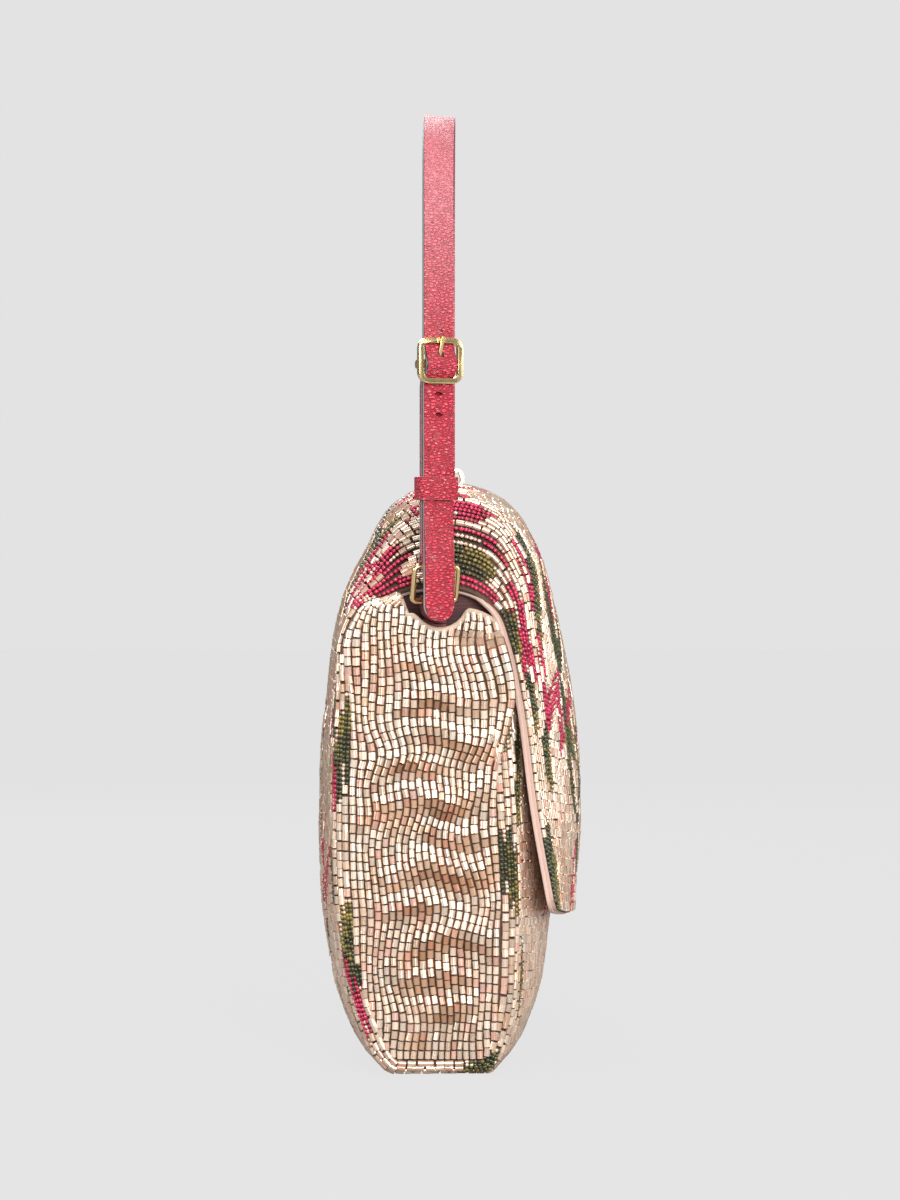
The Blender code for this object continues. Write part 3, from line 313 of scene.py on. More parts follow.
def gusset_outline():
    """Heights with the y of the front and the back edge of an end panel."""
    rows = np.linspace(0, HINGE + 2.6, 520)
    line = end_section(rows)
    line = line - outward(line) * inset(rows)[:, None]
    front = line[rows <= 9][::-1]
    back = line[rows > 9]
    z = np.linspace(GUSSET_LOW, GUSSET_TOP, 180)
    y_front = np.interp(z, np.maximum.accumulate(front[:, 1]), front[:, 0])
    y_back = np.interp(z, np.maximum.accumulate(back[:, 1]), back[:, 0])
    over = section_line(FLAP_HALF, np.linspace(20.5, 25, 300))[::-1]
    under_flap = np.interp(z, over[:, 1], over[:, 0]) + FLAP_ROOM
    return z, y_front + (under_flap - y_front) * ear(z), y_back


GUSSET_Z, GUSSET_FRONT, GUSSET_BACK = gusset_outline()


def end_edges(z):
    """The y of an end panel's front and back edge at height z."""
    return np.interp(z, GUSSET_Z, GUSSET_FRONT), np.interp(z, GUSSET_Z, GUSSET_BACK)


def end_x(y, z):
    """The end panel's surface at y and z: rounded at its edges, leaning in at its top."""
    lean = max(z - 146.0, 0.0) / 14.0
    tucked = 4.0 * ease((z - 142.5) / 7.0) * ease((-y - 4.0) / 3.0)
    depth = np.min(np.hypot(END_LINE[:, 0] - y, END_LINE[:, 1] - z))
    if y < 0 and z > 80:
        depth = y - end_edges(z)[0] + GUSSET_INSET
    room = max(CORNER - max(depth, 0.6), 0.0) * (1 - ear(z) * (y < 0))
    return BODY_HALF - CORNER + math.sqrt(CORNER**2 - room**2) - 0.7 * lean * lean - tucked


# Soft folds across an end panel: height, slope, waviness, half height, how far they
# stand out, where along y they are strongest and how far they reach
FOLDS = (
    (137.0, -0.05, 1.4, 3.2, 0.9, 3, 13),
    (126.5, 0.12, 1.8, 4.2, 1.3, -2, 13),
    (114.0, -0.10, 2.0, 4.0, 1.5, -5, 13),
    (104.5, 0.14, 1.4, 3.0, 1.1, 9, 10),
    (93.5, 0.07, 2.2, 4.4, 1.8, 0, 15),
    (81.0, -0.13, 1.8, 3.6, 1.4, -7, 12),
    (69.5, 0.11, 2.2, 4.6, 1.9, 1, 16),
    (57.0, -0.07, 1.6, 3.6, 1.3, 7, 12),
    (46.5, 0.12, 2.0, 4.4, 1.7, -2, 14),
    (34.0, -0.06, 1.4, 3.8, 1.2, 3, 12),
    (23.5, 0.05, 1.0, 3.4, 1.3, -1, 10),
)


def fold_relief(side, y, z):
    """How far an end panel's folds stand out at y and z, in millimetres."""
    total = 0.15 * noise.noise((y * 0.15, z * 0.12, side * 5.0))
    shift = 0.0 if side < 0 else 5.0
    for height, slope, wave, half, depth, centre, reach in FOLDS:
        line = height + shift + slope * side * (y - centre) + wave * math.sin(0.23 * y + height)
        off = (z - line) / half
        if abs(off) > 3:
            continue
        shape = math.exp(-off * off * (1.6 if off > 0 else 0.7))
        total += depth * shape * math.exp(-((y - centre) / reach) ** 2)
    low = min(max((z - GUSSET_LOW) / 10, 0.0), 1.0)
    high = min(max((158.0 - z) / 14, 0.0), 1.0)
    front, back = end_edges(z)
    near = min(back - y, y - front)
    return total * low * high * float(ease((near + 1.5) / 7.0))


def drift(side, y, z):
    """How far a column of beads wanders sideways on an end panel."""
    slow = 3.0 * noise.noise((y * 0.03, z * 0.045, 11.0 + side))
    return slow + 1.0 * math.sin(z * 0.2 + y * 0.05 + 2.5 * noise.noise((4.0, z * 0.03, side)))


# Leaves and petals of the bead pattern


def fanned(kind, x, v, reach, angle, length, width, size, bend):
    """A leaf or petal whose middle lies at reach from x and v, at an angle in degrees."""
    turn = math.radians(angle)
    x = x + reach * size * math.sin(turn)
    v = v + reach * size * math.cos(turn)
    return (kind, x, v, length * size, width * size, angle, bend)


def scatter_motifs(seed, x_half, v_low, v_high, across, along):
    """A free all-over pattern: sprays of petals with leaves round them."""
    chance = np.random.RandomState(seed)
    motifs = []
    columns = int(2 * x_half / across)
    lines = max(int((v_high - v_low) / along), 1)
    for i in range(columns):
        for j in range(lines):
            x = -x_half + (i + 0.5 + 0.5 * (j % 2)) * across + chance.uniform(-5, 5)
            v = v_low + (j + 0.5) * along + chance.uniform(-7, 7)
            lean = chance.uniform(-28, 28)
            for k, fan in enumerate((-34, -4, 27)):
                size = chance.uniform(0.8, 1.15)
                bend = chance.uniform(-3, 3)
                width = 9.5 + 2.5 * (k == 1)
                motifs.append(fanned("petal", x, v, 19, lean + fan, 44, width, size, bend))
            for fan in (150, 205, 62):
                size = chance.uniform(0.75, 1.2)
                bend = chance.uniform(-5, 5)
                motifs.append(fanned("leaf", x, v, 22, lean + fan, 42, 14, size, bend))
    return motifs


def end_sprays(seed, reaches, v_low, v_high, length, width, gap, leaves):
    """Long leaves and petals that follow the section near both ends."""
    chance = np.random.RandomState(seed)
    motifs = []
    for side in (-1, 1):
        for reach in reaches:
            v = v_low + chance.uniform(0, gap[1])
            while v < v_high:
                long = chance.uniform(*length)
                motifs.append((
                    "leaf" if chance.uniform() < leaves else "petal",
                    side * (reach + chance.uniform(-2, 2)),
                    v + long / 2,
                    long,
                    chance.uniform(*width),
                    chance.uniform(-8, 8),
                    chance.uniform(-2.5, 2.5),
                ))
                v += long + chance.uniform(*gap)
    return motifs


def read_motifs(motifs, x, v):
    """For each place: 0 plain, 1 leaf, 2 petal, and a tone from 0 to 1."""
    kind = np.zeros(len(x), int)
    tone = np.zeros(len(x))
    for name, cx, cv, length, width, angle, bend in motifs:
        turn = math.radians(angle)
        dx, dv = x - cx, v - cv
        along = (dx * math.sin(turn) + dv * math.cos(turn)) / (length / 2)
        aside = dx * math.cos(turn) - dv * math.sin(turn)
        inside = np.abs(along) < 1
        room = np.clip(1 - along**2, 1e-6, 1) ** 0.7 * width / 2
        across = (aside - bend * (1 - along**2)) / room
        inside &= np.abs(across) < 1
        if name == "leaf":
            kind[inside] = 1
            tone[inside] = (0.5 + 0.35 * across + 0.35 * along)[inside]
        else:
            streak = inside & (np.abs(across + 0.1) < 0.16) & (along < 0.25)
            kind[inside] = 2
            tone[inside] = (0.5 + 0.4 * across - 0.3 * along)[inside]
            kind[streak] = 0
    return kind, np.clip(tone, 0, 1)


# Shader nodes


def plug(tree, place, value):
    """Links a value to a node's socket, or sets a plain one there."""
    if isinstance(value, Wire):
        tree.links.new(value.socket, place)
    else:
        place.default_value = value


class Wire:
    """A value in a material. Arithmetic on it adds Math nodes."""

    def __init__(self, tree, socket):
        self.tree = tree
        self.socket = socket

    def _sum(self, operation, first, second):
        made = self.tree.nodes.new("ShaderNodeMath")
        made.operation = operation
        plug(self.tree, made.inputs[0], first)
        plug(self.tree, made.inputs[1], second)
        return Wire(self.tree, made.outputs[0])

    def __add__(self, other):
        return self._sum("ADD", self, other)

    def __radd__(self, other):
        return self._sum("ADD", other, self)

    def __sub__(self, other):
        return self._sum("SUBTRACT", self, other)

    def __rsub__(self, other):
        return self._sum("SUBTRACT", other, self)

    def __mul__(self, other):
        return self._sum("MULTIPLY", self, other)

    def __rmul__(self, other):
        return self._sum("MULTIPLY", other, self)


class Recipe:
    """One material, with a short way to add its nodes."""

    def __init__(self, name, colour=(0.8, 0.8, 0.8), **sockets):
        self.material = bpy.data.materials.new(name)
        self.material.use_nodes = True
        self.tree = self.material.node_tree
        self.shader = self.tree.nodes["Principled BSDF"]
        self.material.diffuse_color = (*colour, 1.0)
        self.set("Base Color", (*colour, 1.0))
        for key, value in sockets.items():
            self.set(key.replace("_", " ").title().replace("Ior", "IOR"), value)

    def set(self, socket, value):
        """Sets or links a socket of the material's own shader."""
        plug(self.tree, self.shader.inputs[socket], value)

    def node(self, kind, settings=None, output=0, **sockets):
        """Adds a node: its settings first, then its sockets, by name or as _ and a number."""
        made = self.tree.nodes.new(kind)
        for key, value in (settings or {}).items():
            if key == "stops":
                ramp = made.color_ramp
                while len(ramp.elements) < len(value):
                    ramp.elements.new(0.5)
                for element, (position, colour) in zip(ramp.elements, value):
                    element.position = position
                    element.color = (*colour, 1.0)
            else:
                setattr(made, key, value)
        for key, value in sockets.items():
            socket = int(key[1:]) if key[0] == "_" else key.replace("_", " ")
            plug(self.tree, made.inputs[socket], value)
        return Wire(self.tree, made.outputs[output])

    def place(self):
        """Object coordinates, which stay with the piece as it moves."""
        return self.node("ShaderNodeTexCoord", output="Object")

    def carried(self, name, output="Fac"):
        """A value that the mesh itself carries."""
        return self.node("ShaderNodeAttribute", {"attribute_name": name}, output=output)

    def bands(self, way, **sockets):
        """Soft bands across one axis."""
        settings = {"bands_direction": way}
        return self.node("ShaderNodeTexWave", settings, "Fac", Vector=self.place(), **sockets)

    def spread(self, value, low, high, most=1.0, curve="LINEAR"):
        """Turns low to high into 0 to most."""
        return self.node(
            "ShaderNodeMapRange", {"interpolation_type": curve},
            Value=value, From_Min=low, From_Max=high, To_Max=most,
        )

    def noise(self, scale, detail=2.0, vector=None, output="Fac"):
        source = vector or self.place()
        return self.node(
            "ShaderNodeTexNoise", output=output, Vector=source, Scale=scale, Detail=detail,
        )

    def cells(self, scale, feature, vector=None):
        source = vector or self.place()
        settings = {"feature": feature}
        return self.node("ShaderNodeTexVoronoi", settings, "Distance", Vector=source, Scale=scale)

    def ramp(self, value, *stops):
        return self.node("ShaderNodeValToRGB", {"stops": stops}, output="Color", Fac=value)

    def mix(self, share, first, second, blend="MIX"):
        settings = {"data_type": "RGBA", "blend_type": blend}
        first = first if isinstance(first, Wire) else (*first, 1.0)
        second = second if isinstance(second, Wire) else (*second, 1.0)
        return self.node("ShaderNodeMix", settings, output=2, _0=share, _6=first, _7=second)

    def bump(self, height, distance, strength=1.0):
        relief = self.node("ShaderNodeBump", Height=height, Distance=distance, Strength=strength)
        self.set("Normal", relief)


def bead_finish():
    """Glass beads. Each bead carries its own colour and how silvery its lining is."""
    m = Recipe(
        "sewn glass beads", (0.85, 0.74, 0.58), roughness=0.2, coat_weight=0.5,
        coat_roughness=0.08,
    )
    tint = m.carried("tint", "Color")
    lined = m.carried("lined")
    cloud = m.noise(420.0, 2.0)
    m.set("Base Color", m.mix(cloud * 0.35, tint, (0.55, 0.40, 0.28), "MULTIPLY"))
    m.set("Metallic", lined * 0.7)
    m.set("Roughness", 0.16 + cloud * 0.18)
    m.bump(m.noise(900.0, 1.0), 0.00004, 0.5)
    return m.material


def backing_finish():
    """The cloth that the beads are sewn on, seen as thin lines between them."""
    m = Recipe("beading cloth", (0.20, 0.12, 0.08), roughness=0.85)
    weave = m.bands("Z", Scale=900.0, Distortion=1.5, Detail=1.0)
    patch = m.noise(60.0, 3.0)
    m.set("Base Color", m.ramp(patch, (0.3, (0.045, 0.025, 0.016)), (0.7, (0.14, 0.08, 0.052))))
    m.bump(weave, 0.0001, 0.6)
    return m.material


def grained_leather(name, deep, face, pale, size, relief, rough):
    """Pebbled leather: rounded cells with creases between them painted darker as painted shade,
    some cell tops painted pale as painted glints, and a painted sheen that makes the upper part
    paler.
    """
    m = Recipe(
        name, face, roughness=rough, coat_weight=0.05, coat_roughness=0.2,
        specular_ior_level=0.3,
    )
    bent = m.node(
        "ShaderNodeVectorMath", {"operation": "MULTIPLY_ADD"}, output="Vector",
        _0=m.noise(size * 0.35, 3.0, output="Color"), _1=(0.0009, 0.0009, 0.0009), _2=m.place(),
    )
    stretched = m.node(
        "ShaderNodeMapping", Vector=bent, Scale=(1.0, 0.62, 1.5), Rotation=(0.5, 0, 0),
    )
    crease = m.cells(size, "DISTANCE_TO_EDGE", stretched)
    top = m.cells(size, "SMOOTH_F1", stretched)
    pores = m.noise(size * 3.2, 2.0)
    large = m.noise(70.0, 3.0)
    shape = m.spread(crease, 0.02, 0.26, curve="SMOOTHSTEP")
    # The creases take the deep colour: painted shade in the creases.
    hue = m.mix(shape, deep, face)
    # Painted sheen: the strap turns paler towards its top, standing in for a sheen of light;
    # large patches add some paler tone at random.
    high = m.node("ShaderNodeSeparateXYZ", output=2, Vector=m.place())
    painted_top_sheen = m.spread(high, 0.225, 0.30, 0.38, "SMOOTHSTEP")
    hue = m.mix(painted_top_sheen + large * 0.16, hue, pale)
    # Painted glints: in some cells the tops are painted pale, standing in for highlights.
    painted_glints = m.spread(top, 0.3, 0.05)
    some = m.spread(m.noise(330.0, 2.0), 0.4, 0.62)
    m.set("Base Color", m.mix(painted_glints * some * 0.75, hue, pale))
    m.set("Roughness", rough + 0.14 - shape * 0.12 + pores * 0.1)
    m.bump(shape * 0.8 + pores * 0.25, relief, 0.9)
    return m.material


def smooth_leather(name, deep, face):
    """Fine leather with a faint grain."""
    m = Recipe(name, face, roughness=0.5, coat_weight=0.1)
    fine = m.cells(1900.0, "DISTANCE_TO_EDGE")
    patch = m.noise(90.0, 4.0)
    m.set("Base Color", m.mix(patch, deep, face))
    m.set("Roughness", 0.5 + patch * 0.15)
    m.bump(fine + m.noise(600.0, 2.0) * 0.5, 0.00006, 0.7)
    return m.material


def edge_paint():
    """Grey painted strap edge: a dark line next to the face, and a dark line of painted shade
    along its inner side.
    """
    m = Recipe("grey edge paint", (0.45, 0.44, 0.43), roughness=0.5)
    # The stop at 0, on the edge's inner side, is painted shade; the dark stops next to the face
    # are a line of dark paint.
    m.set("Base Color", m.ramp(
        m.carried("through") + m.noise(500.0, 2.0) * 0.1,
        (0.0, (0.04, 0.03, 0.03)),
        (0.16, (0.34, 0.33, 0.33)),
        (0.5, (0.42, 0.41, 0.41)),
        (0.72, (0.32, 0.30, 0.30)),
        (0.82, (0.02, 0.015, 0.015)),
        (1.0, (0.03, 0.01, 0.012)),
    ))
    m.bump(m.noise(700.0, 2.0), 0.00005, 0.5)
    return m.material


def gold_finish(name, colour, rough):
    """Polished plating with faint scuffs."""
    m = Recipe(name, colour, roughness=rough, metallic=1.0)
    drawn = m.node("ShaderNodeMapping", Vector=m.place(), Scale=(1.0, 1.0, 0.25))
    scuff = m.noise(300.0, 4.0, drawn)
    spots = m.noise(60.0, 2.0)
    dull = tuple(c * 0.82 for c in colour)
    m.set("Base Color", m.mix(spots * 0.5, colour, dull))
    m.set("Roughness", rough + scuff * 0.12)
    m.bump(scuff, 0.00002, 0.4)
    return m.material


def woven_finish(name, deep, face, rough=0.8, size=1500.0):
    """Plain woven cloth."""
    m = Recipe(name, face, roughness=rough, sheen_weight=0.15)
    warp, weft = (m.bands(way, Scale=size / 6.0, Distortion=0.6) for way in "XZ")
    thread = warp * weft
    patch = m.noise(120.0, 3.0)
    m.set("Base Color", m.mix(thread * 0.6 + patch * 0.4, deep, face))
    m.bump(thread, 0.00012, 0.7)
    return m.material


def shadow_finish():
    """The dark inside of a punched hole."""
    m = Recipe("punched hole", (0.02, 0.008, 0.01), roughness=0.9)
    m.set("Base Color", m.mix(m.noise(800.0), (0.015, 0.006, 0.008), (0.05, 0.012, 0.02)))
    return m.material


# Mesh helpers


def place_object(name, data):
    """A new object, put in the scene."""
    made = bpy.data.objects.new(name, data)
    bpy.context.scene.collection.objects.link(made)
    return made


def settled_mesh(made):
    """A copy of an object's mesh as its modifiers leave it."""
    ready = made.evaluated_get(bpy.context.evaluated_depsgraph_get())
    return bpy.data.meshes.new_from_object(ready)


def refinish(mesh, material):
    """Gives a mesh one material in place of those that it has."""
    mesh.materials.clear()
    mesh.materials.append(material)


def round_edges(bm, angle, offset, segments):
    """Rounds the edges that turn by more than angle, in radians."""
    sharp = [e for e in bm.edges if len(e.link_faces) == 2 and e.calc_face_angle(0.0) > angle]
    bmesh.ops.bevel(
        bm, geom=sharp, offset=offset * MM, segments=segments, profile=0.5,
        affect="EDGES", clamp_overlap=True, material=-1,
    )


def to_object(name, bm, finishes, body, smooth_angle=40):
    """Turns a bmesh into a piece that rides on its body."""
    mesh = bpy.data.meshes.new(name)
    bm.to_mesh(mesh)
    bm.free()
    for finish in finishes:
        mesh.materials.append(finish)
    mesh.shade_smooth()
    mesh.set_sharp_from_angle(angle=math.radians(smooth_angle))
    made = place_object(name, mesh)
    if body:
        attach(made, body)
    return made


def shaped_grid(across, along, place):
    """A grid whose point (i, j) goes to place(i, j), in millimetres, facing outwards."""
    bm = bmesh.new()
    bmesh.ops.create_grid(bm, x_segments=across, y_segments=along, size=1.0)
    for v in bm.verts:
        i = round((v.co.x + 1) / 2 * across)
        j = round((v.co.y + 1) / 2 * along)
        v.co = Vector(place(i, j)) * MM
    bm.normal_update()
    return bm


def thicken(bm, depth, rim=0):
    """Gives a sheet its thickness on its inner side. It faces away from the bag's middle.
    Its cut edges get the finish numbered rim."""
    bm.normal_update()
    face = max(bm.faces, key=lambda f: f.calc_area())
    if face.normal.dot(face.calc_center_median() - Vector(MIDDLE) * MM) < 0:
        bmesh.ops.reverse_faces(bm, faces=bm.faces)
        bm.normal_update()
    inner = [(v, v.co - v.normal * depth * MM) for v in bm.verts]
    bmesh.ops.extrude_face_region(bm, geom=bm.faces[:], use_keep_orig=True)
    for v, place in inner:
        v.co = place
    hidden = {v for v, place in inner}
    for face in bm.faces:
        if 0 < sum(v in hidden for v in face.verts) < len(face.verts):
            face.material_index = rim
    bmesh.ops.recalc_face_normals(bm, faces=bm.faces)


def roll(points, radius, name, material, body):
    """A round roll that follows points, in millimetres, closed at both ends."""
    line = bpy.data.curves.new(name, "CURVE")
    line.dimensions = "3D"
    line.bevel_depth = radius * MM
    line.bevel_resolution = 3
    line.use_fill_caps = True
    spline = line.splines.new("POLY")
    spline.points.add(len(points) - 1)
    for point, place in zip(spline.points, points):
        point.co = (*[c * MM for c in place], 1.0)
    made = place_object(name, line)
    mesh = settled_mesh(made)
    bpy.data.objects.remove(made)
    bm = bmesh.new()
    bm.from_mesh(mesh)
    bmesh.ops.remove_doubles(bm, verts=bm.verts, dist=0.000005)
    bm.normal_update()
    bmesh.ops.recalc_face_normals(bm, faces=bm.faces)
    return to_object(name, bm, [material], body, 60)


def dressed_copy(node, piece, finishes, bevel, segments=2, smooth_angle=40, paint=None):
    """A node's own shape with its edges rounded, which then stands for it."""
    source = frame["nodes"][node]
    bm = bmesh.new()
    bm.from_mesh(source.data)
    bmesh.ops.remove_doubles(bm, verts=bm.verts, dist=0.000002)
    bmesh.ops.dissolve_limit(bm, angle_limit=math.radians(0.6), verts=bm.verts, edges=bm.edges)
    bm.normal_update()
    if bevel:
        round_edges(bm, math.radians(38), bevel, segments)
    if paint:
        paint(bm)
    body = source["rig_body"]
    made = to_object(piece, bm, finishes, body, smooth_angle)
    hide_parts(node)
    return made


# Beads


def bugle_shape(name):
    """A short cut glass tube, one unit wide, long and high, lying along Y."""
    bm = bmesh.new()
    bmesh.ops.create_cone(bm, cap_ends=True, segments=8, radius1=0.54, radius2=0.54, depth=1.0)
    for angle, axis in ((math.pi / 2, "X"), (math.pi / 8, "Y")):
        turn = Matrix.Rotation(angle, 3, axis)
        bmesh.ops.rotate(bm, cent=(0, 0, 0), matrix=turn, verts=bm.verts)
    return bead_shape(name, bm)


def seed_shape(name):
    """A small round bead."""
    bm = bmesh.new()
    bmesh.ops.create_icosphere(bm, subdivisions=1, radius=0.54)
    return bead_shape(name, bm)


def bead_shape(name, bm):
    """Keeps one bead as the pattern that is sown."""
    made = to_object(name, bm, [], None, 60)
    made.hide_render = True
    return made


def sowing(shape):
    """Nodes that set one bead on every point, by its own turn and size."""
    tree = bpy.data.node_groups.new("bead sowing", "GeometryNodeTree")
    tree.interface.new_socket("Points", in_out="INPUT", socket_type="NodeSocketGeometry")
    tree.interface.new_socket("Beads", in_out="OUTPUT", socket_type="NodeSocketGeometry")
    start = tree.nodes.new("NodeGroupInput")
    end = tree.nodes.new("NodeGroupOutput")
    bead = tree.nodes.new("GeometryNodeObjectInfo")
    bead.inputs["Object"].default_value = shape
    put = tree.nodes.new("GeometryNodeInstanceOnPoints")
    real = tree.nodes.new("GeometryNodeRealizeInstances")
    for name, kind, socket in (
        ("turn", "QUATERNION", "Rotation"), ("size", "FLOAT_VECTOR", "Scale"),
    ):
        read = tree.nodes.new("GeometryNodeInputNamedAttribute")
        read.data_type = kind
        read.inputs["Name"].default_value = name
        tree.links.new(read.outputs["Attribute"], put.inputs[socket])
    tree.links.new(start.outputs[0], put.inputs["Points"])
    tree.links.new(bead.outputs["Geometry"], put.inputs["Instance"])
    tree.links.new(put.outputs["Instances"], real.inputs["Geometry"])
    tree.links.new(real.outputs["Geometry"], end.inputs[0])
    return tree


class BeadBag:
    """Collects places for beads of one shape, then sows them."""

    def __init__(self, seed):
        self.chance = np.random.RandomState(seed)
        self.rows = []

    def add(self, point, along, away, size, tint, lined):
        """All are arrays, one line for each bead: places in millimetres, unit directions."""
        self.rows.append((point, along, away, size, tint, lined))

    def add_bugles(self, point, along, away, depth, room, step, tone_and_fold_shade):
        """Adds tube beads, each a little out of line and of its own size."""
        look = bpy.context.scene.bag_beads
        chance = self.chance
        count = len(point)
        point = point - away * (depth + chance.uniform(-0.12, 0.05, (count, 1)))
        along, away = shake(chance, along, away, 0.045)
        size = np.column_stack([
            room * look.fill * chance.uniform(0.95, 1.03, count),
            (step - look.gap) * chance.uniform(0.93, 1.02, count),
            np.full(count, look.height),
        ])
        tint = pale_tints(chance, count, tone_and_fold_shade)
        self.add(point, along, away, size, tint, chance.uniform(0.6, 1.0, count))

    def sow(self, name, shape, body, material, most):
        """Makes the beads as pieces that hold no more than most of them each."""
        if not self.rows:
            return []
        point, along, away, size, tint, lined = (np.concatenate(part) for part in zip(*self.rows))
        side = unit(np.cross(along, away))
        away = np.cross(side, along)
        axes = np.stack([side, along, away], axis=2)
        made = []
        count = math.ceil(len(point) / most)
        edges = np.linspace(0, len(point), count + 1).astype(int)
        for number, (low, high) in enumerate(zip(edges, edges[1:]), 1):
            label = f"{name}_{number}" if count > 1 else name
            fields = (part[low:high] for part in (point, axes, size, tint, lined))
            made.append(self._piece(label, shape, body, material, *fields))
        return made

    def _piece(self, name, shape, body, material, point, axes, size, tint, lined):
        bm = bmesh.new()
        for p in point:
            bm.verts.new(p * MM)
        mesh = bpy.data.meshes.new(name)
        bm.to_mesh(mesh)
        bm.free()
        turns = [Matrix(a.tolist()).to_quaternion() for a in axes]
        fields = (
            ("turn", "QUATERNION", "value", np.array([tuple(q) for q in turns])),
            ("size", "FLOAT_VECTOR", "vector", size * MM),
            ("tint", "FLOAT_COLOR", "color", np.column_stack([tint, np.ones(len(tint))])),
            ("lined", "FLOAT", "value", lined),
        )
        for label, kind, key, values in fields:
            field = mesh.attributes.new(label, kind, "POINT")
            field.data.foreach_set(key, values.astype(np.float32).ravel())
        made = place_object(name, mesh)
        step = made.modifiers.new("bead sowing", "NODES")
        step.node_group = sowing(shape)
        made.data = settled_mesh(made)
        made.modifiers.clear()
        for label in ("turn", "size"):
            left = made.data.attributes.get(label)
            if left:
                made.data.attributes.remove(left)
        refinish(made.data, material)
        if body:
            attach(made, body)
        return made


def shake(chance, along, away, amount):
    """Turns each bead a little out of line."""
    side = np.cross(along, away)
    a = chance.normal(0, amount, len(along))[:, None]
    b = chance.normal(0, amount, len(along))[:, None]
    along = unit(along + side * a + away * b)
    tilt = chance.normal(0, amount * 1.5, len(along))[:, None]
    return along, away + side * tilt


def pale_tints(chance, count, tone_and_fold_shade):
    """Champagne tints: mostly cream, some honey, copper where the given share is high. On the end
    panels that share holds painted shade on the fold slopes that face down; elsewhere it is
    random tone.
    """
    cream, honey, copper = bead_colours("cream", "honey", "copper")
    pick = chance.uniform(0, 1, count)
    mixed = np.clip(0.12 + 0.75 * tone_and_fold_shade + (pick - 0.5) * 0.35, 0, 1)[:, None]
    light = cream + (honey - cream) * mixed * 2
    dark = honey + (copper - honey) * (mixed * 2 - 1)
    tint = np.where(mixed < 0.5, light, dark)
    pinkish = chance.uniform(0, 1, (count, 1)) < 0.14
    blush = np.where(pinkish, (1.0, 0.80, 0.80), (1.0, 1.0, 1.0))
    return tint * blush * chance.uniform(0.76, 1.1, (count, 1))


def bead_colours(*names):
    """The chosen colours of those names."""
    colours = bpy.context.scene.bag_colours
    return [np.array(getattr(colours, name)) for name in names]


def motif_tints(chance, kind, tone):
    """Tints for the beads of leaves and petals, darker where tone is low."""
    dark, gold, deep, pink = bead_colours("leaf_dark", "leaf_gold", "petal_deep", "petal")
    wobble = chance.normal(0, 0.16, len(kind))
    leaf = np.clip((tone + wobble - 0.45) * 2.2, 0, 1)[:, None]
    petal = np.clip(tone + wobble, 0, 1)[:, None]
    is_leaf = (kind == 1)[:, None]
    tint = np.where(is_leaf, dark + (gold - dark) * leaf, deep + (pink - deep) * petal)
    return tint * chance.uniform(0.75, 1.2, (len(kind), 1))


def bead_lines(lines, bugles, seeds, pattern, depth):
    """Lays beads along lines. Each line is (u, points, away, pattern x, pattern v, widths)."""
    look = bpy.context.scene.bag_beads
    chance = bugles.chance
    for u, points, away, px, pv, room in lines:
        length = length_along(points)
        if length[-1] < look.length * 0.8:
            continue
        count = max(int(round(length[-1] / look.length)), 1)
        step = length[-1] / count
        jitter = chance.uniform(-0.12, 0.12, count) * step
        jitter[0] = jitter[-1] = 0.0
        centre = step * (np.arange(count) + 0.5) + jitter

        def frame_at(where):
            p = read_along(length, points, where)
            t = heading(length, points, where, 0.8)
            return p, t, unit(read_along(length, away, where))

        wide = np.interp(centre, length, room)
        touched = [
            pattern(np.interp(at, length, px), np.interp(at, length, pv))[0]
            for at in (centre - 0.33 * step, centre, centre + 0.33 * step)
        ]
        plain = np.sum(touched, axis=0) == 0
        where = centre[plain]
        if len(where):
            p, t, n = frame_at(where)
            clouds = np.array([noise.noise((u * 0.05, w * 0.035, 2.0)) for w in where])
            tone_and_fold_shade = (0.5 + 0.9 * clouds) * 0.35
            bugles.add_bugles(p, t, n, depth, wide[plain], step, tone_and_fold_shade)
        marked = centre[~plain]
        if len(marked):
            wide = wide[~plain]
            across = np.maximum(np.round(wide / SEED_ROOM), 1)
            for column in range(int(across.max())):
                here = across > column
                for quarter in (-0.25, 0.25):
                    place = marked[here] + quarter * step
                    p, t, n = frame_at(place)
                    side = np.cross(t, n)
                    shift = ((column + 0.5) / across[here] - 0.5) * wide[here]
                    loose = side * chance.normal(0, 0.07, (len(place), 1))
                    p = p + side * shift[:, None] - n * depth + loose
                    t, n = shake(chance, t, n, 0.14)
                    at = np.interp(place, length, px) + shift
                    kinds, tones = pattern(at, np.interp(place, length, pv))
                    uneven = chance.uniform(0.88, 1.08, (len(place), 1))
                    size = np.full((len(place), 3), look.seed) * uneven
                    size[:, 1] *= 1.15
                    tints = motif_tints(chance, kinds, tones)
                    bare = kinds == 0
                    tints[bare] = pale_tints(chance, len(place), np.full(len(place), 0.15))[bare]
                    lined = np.where(bare, 0.7, chance.uniform(0.0, 0.3, len(place)))
                    seeds.add(p, t, n, size, tints, lined)


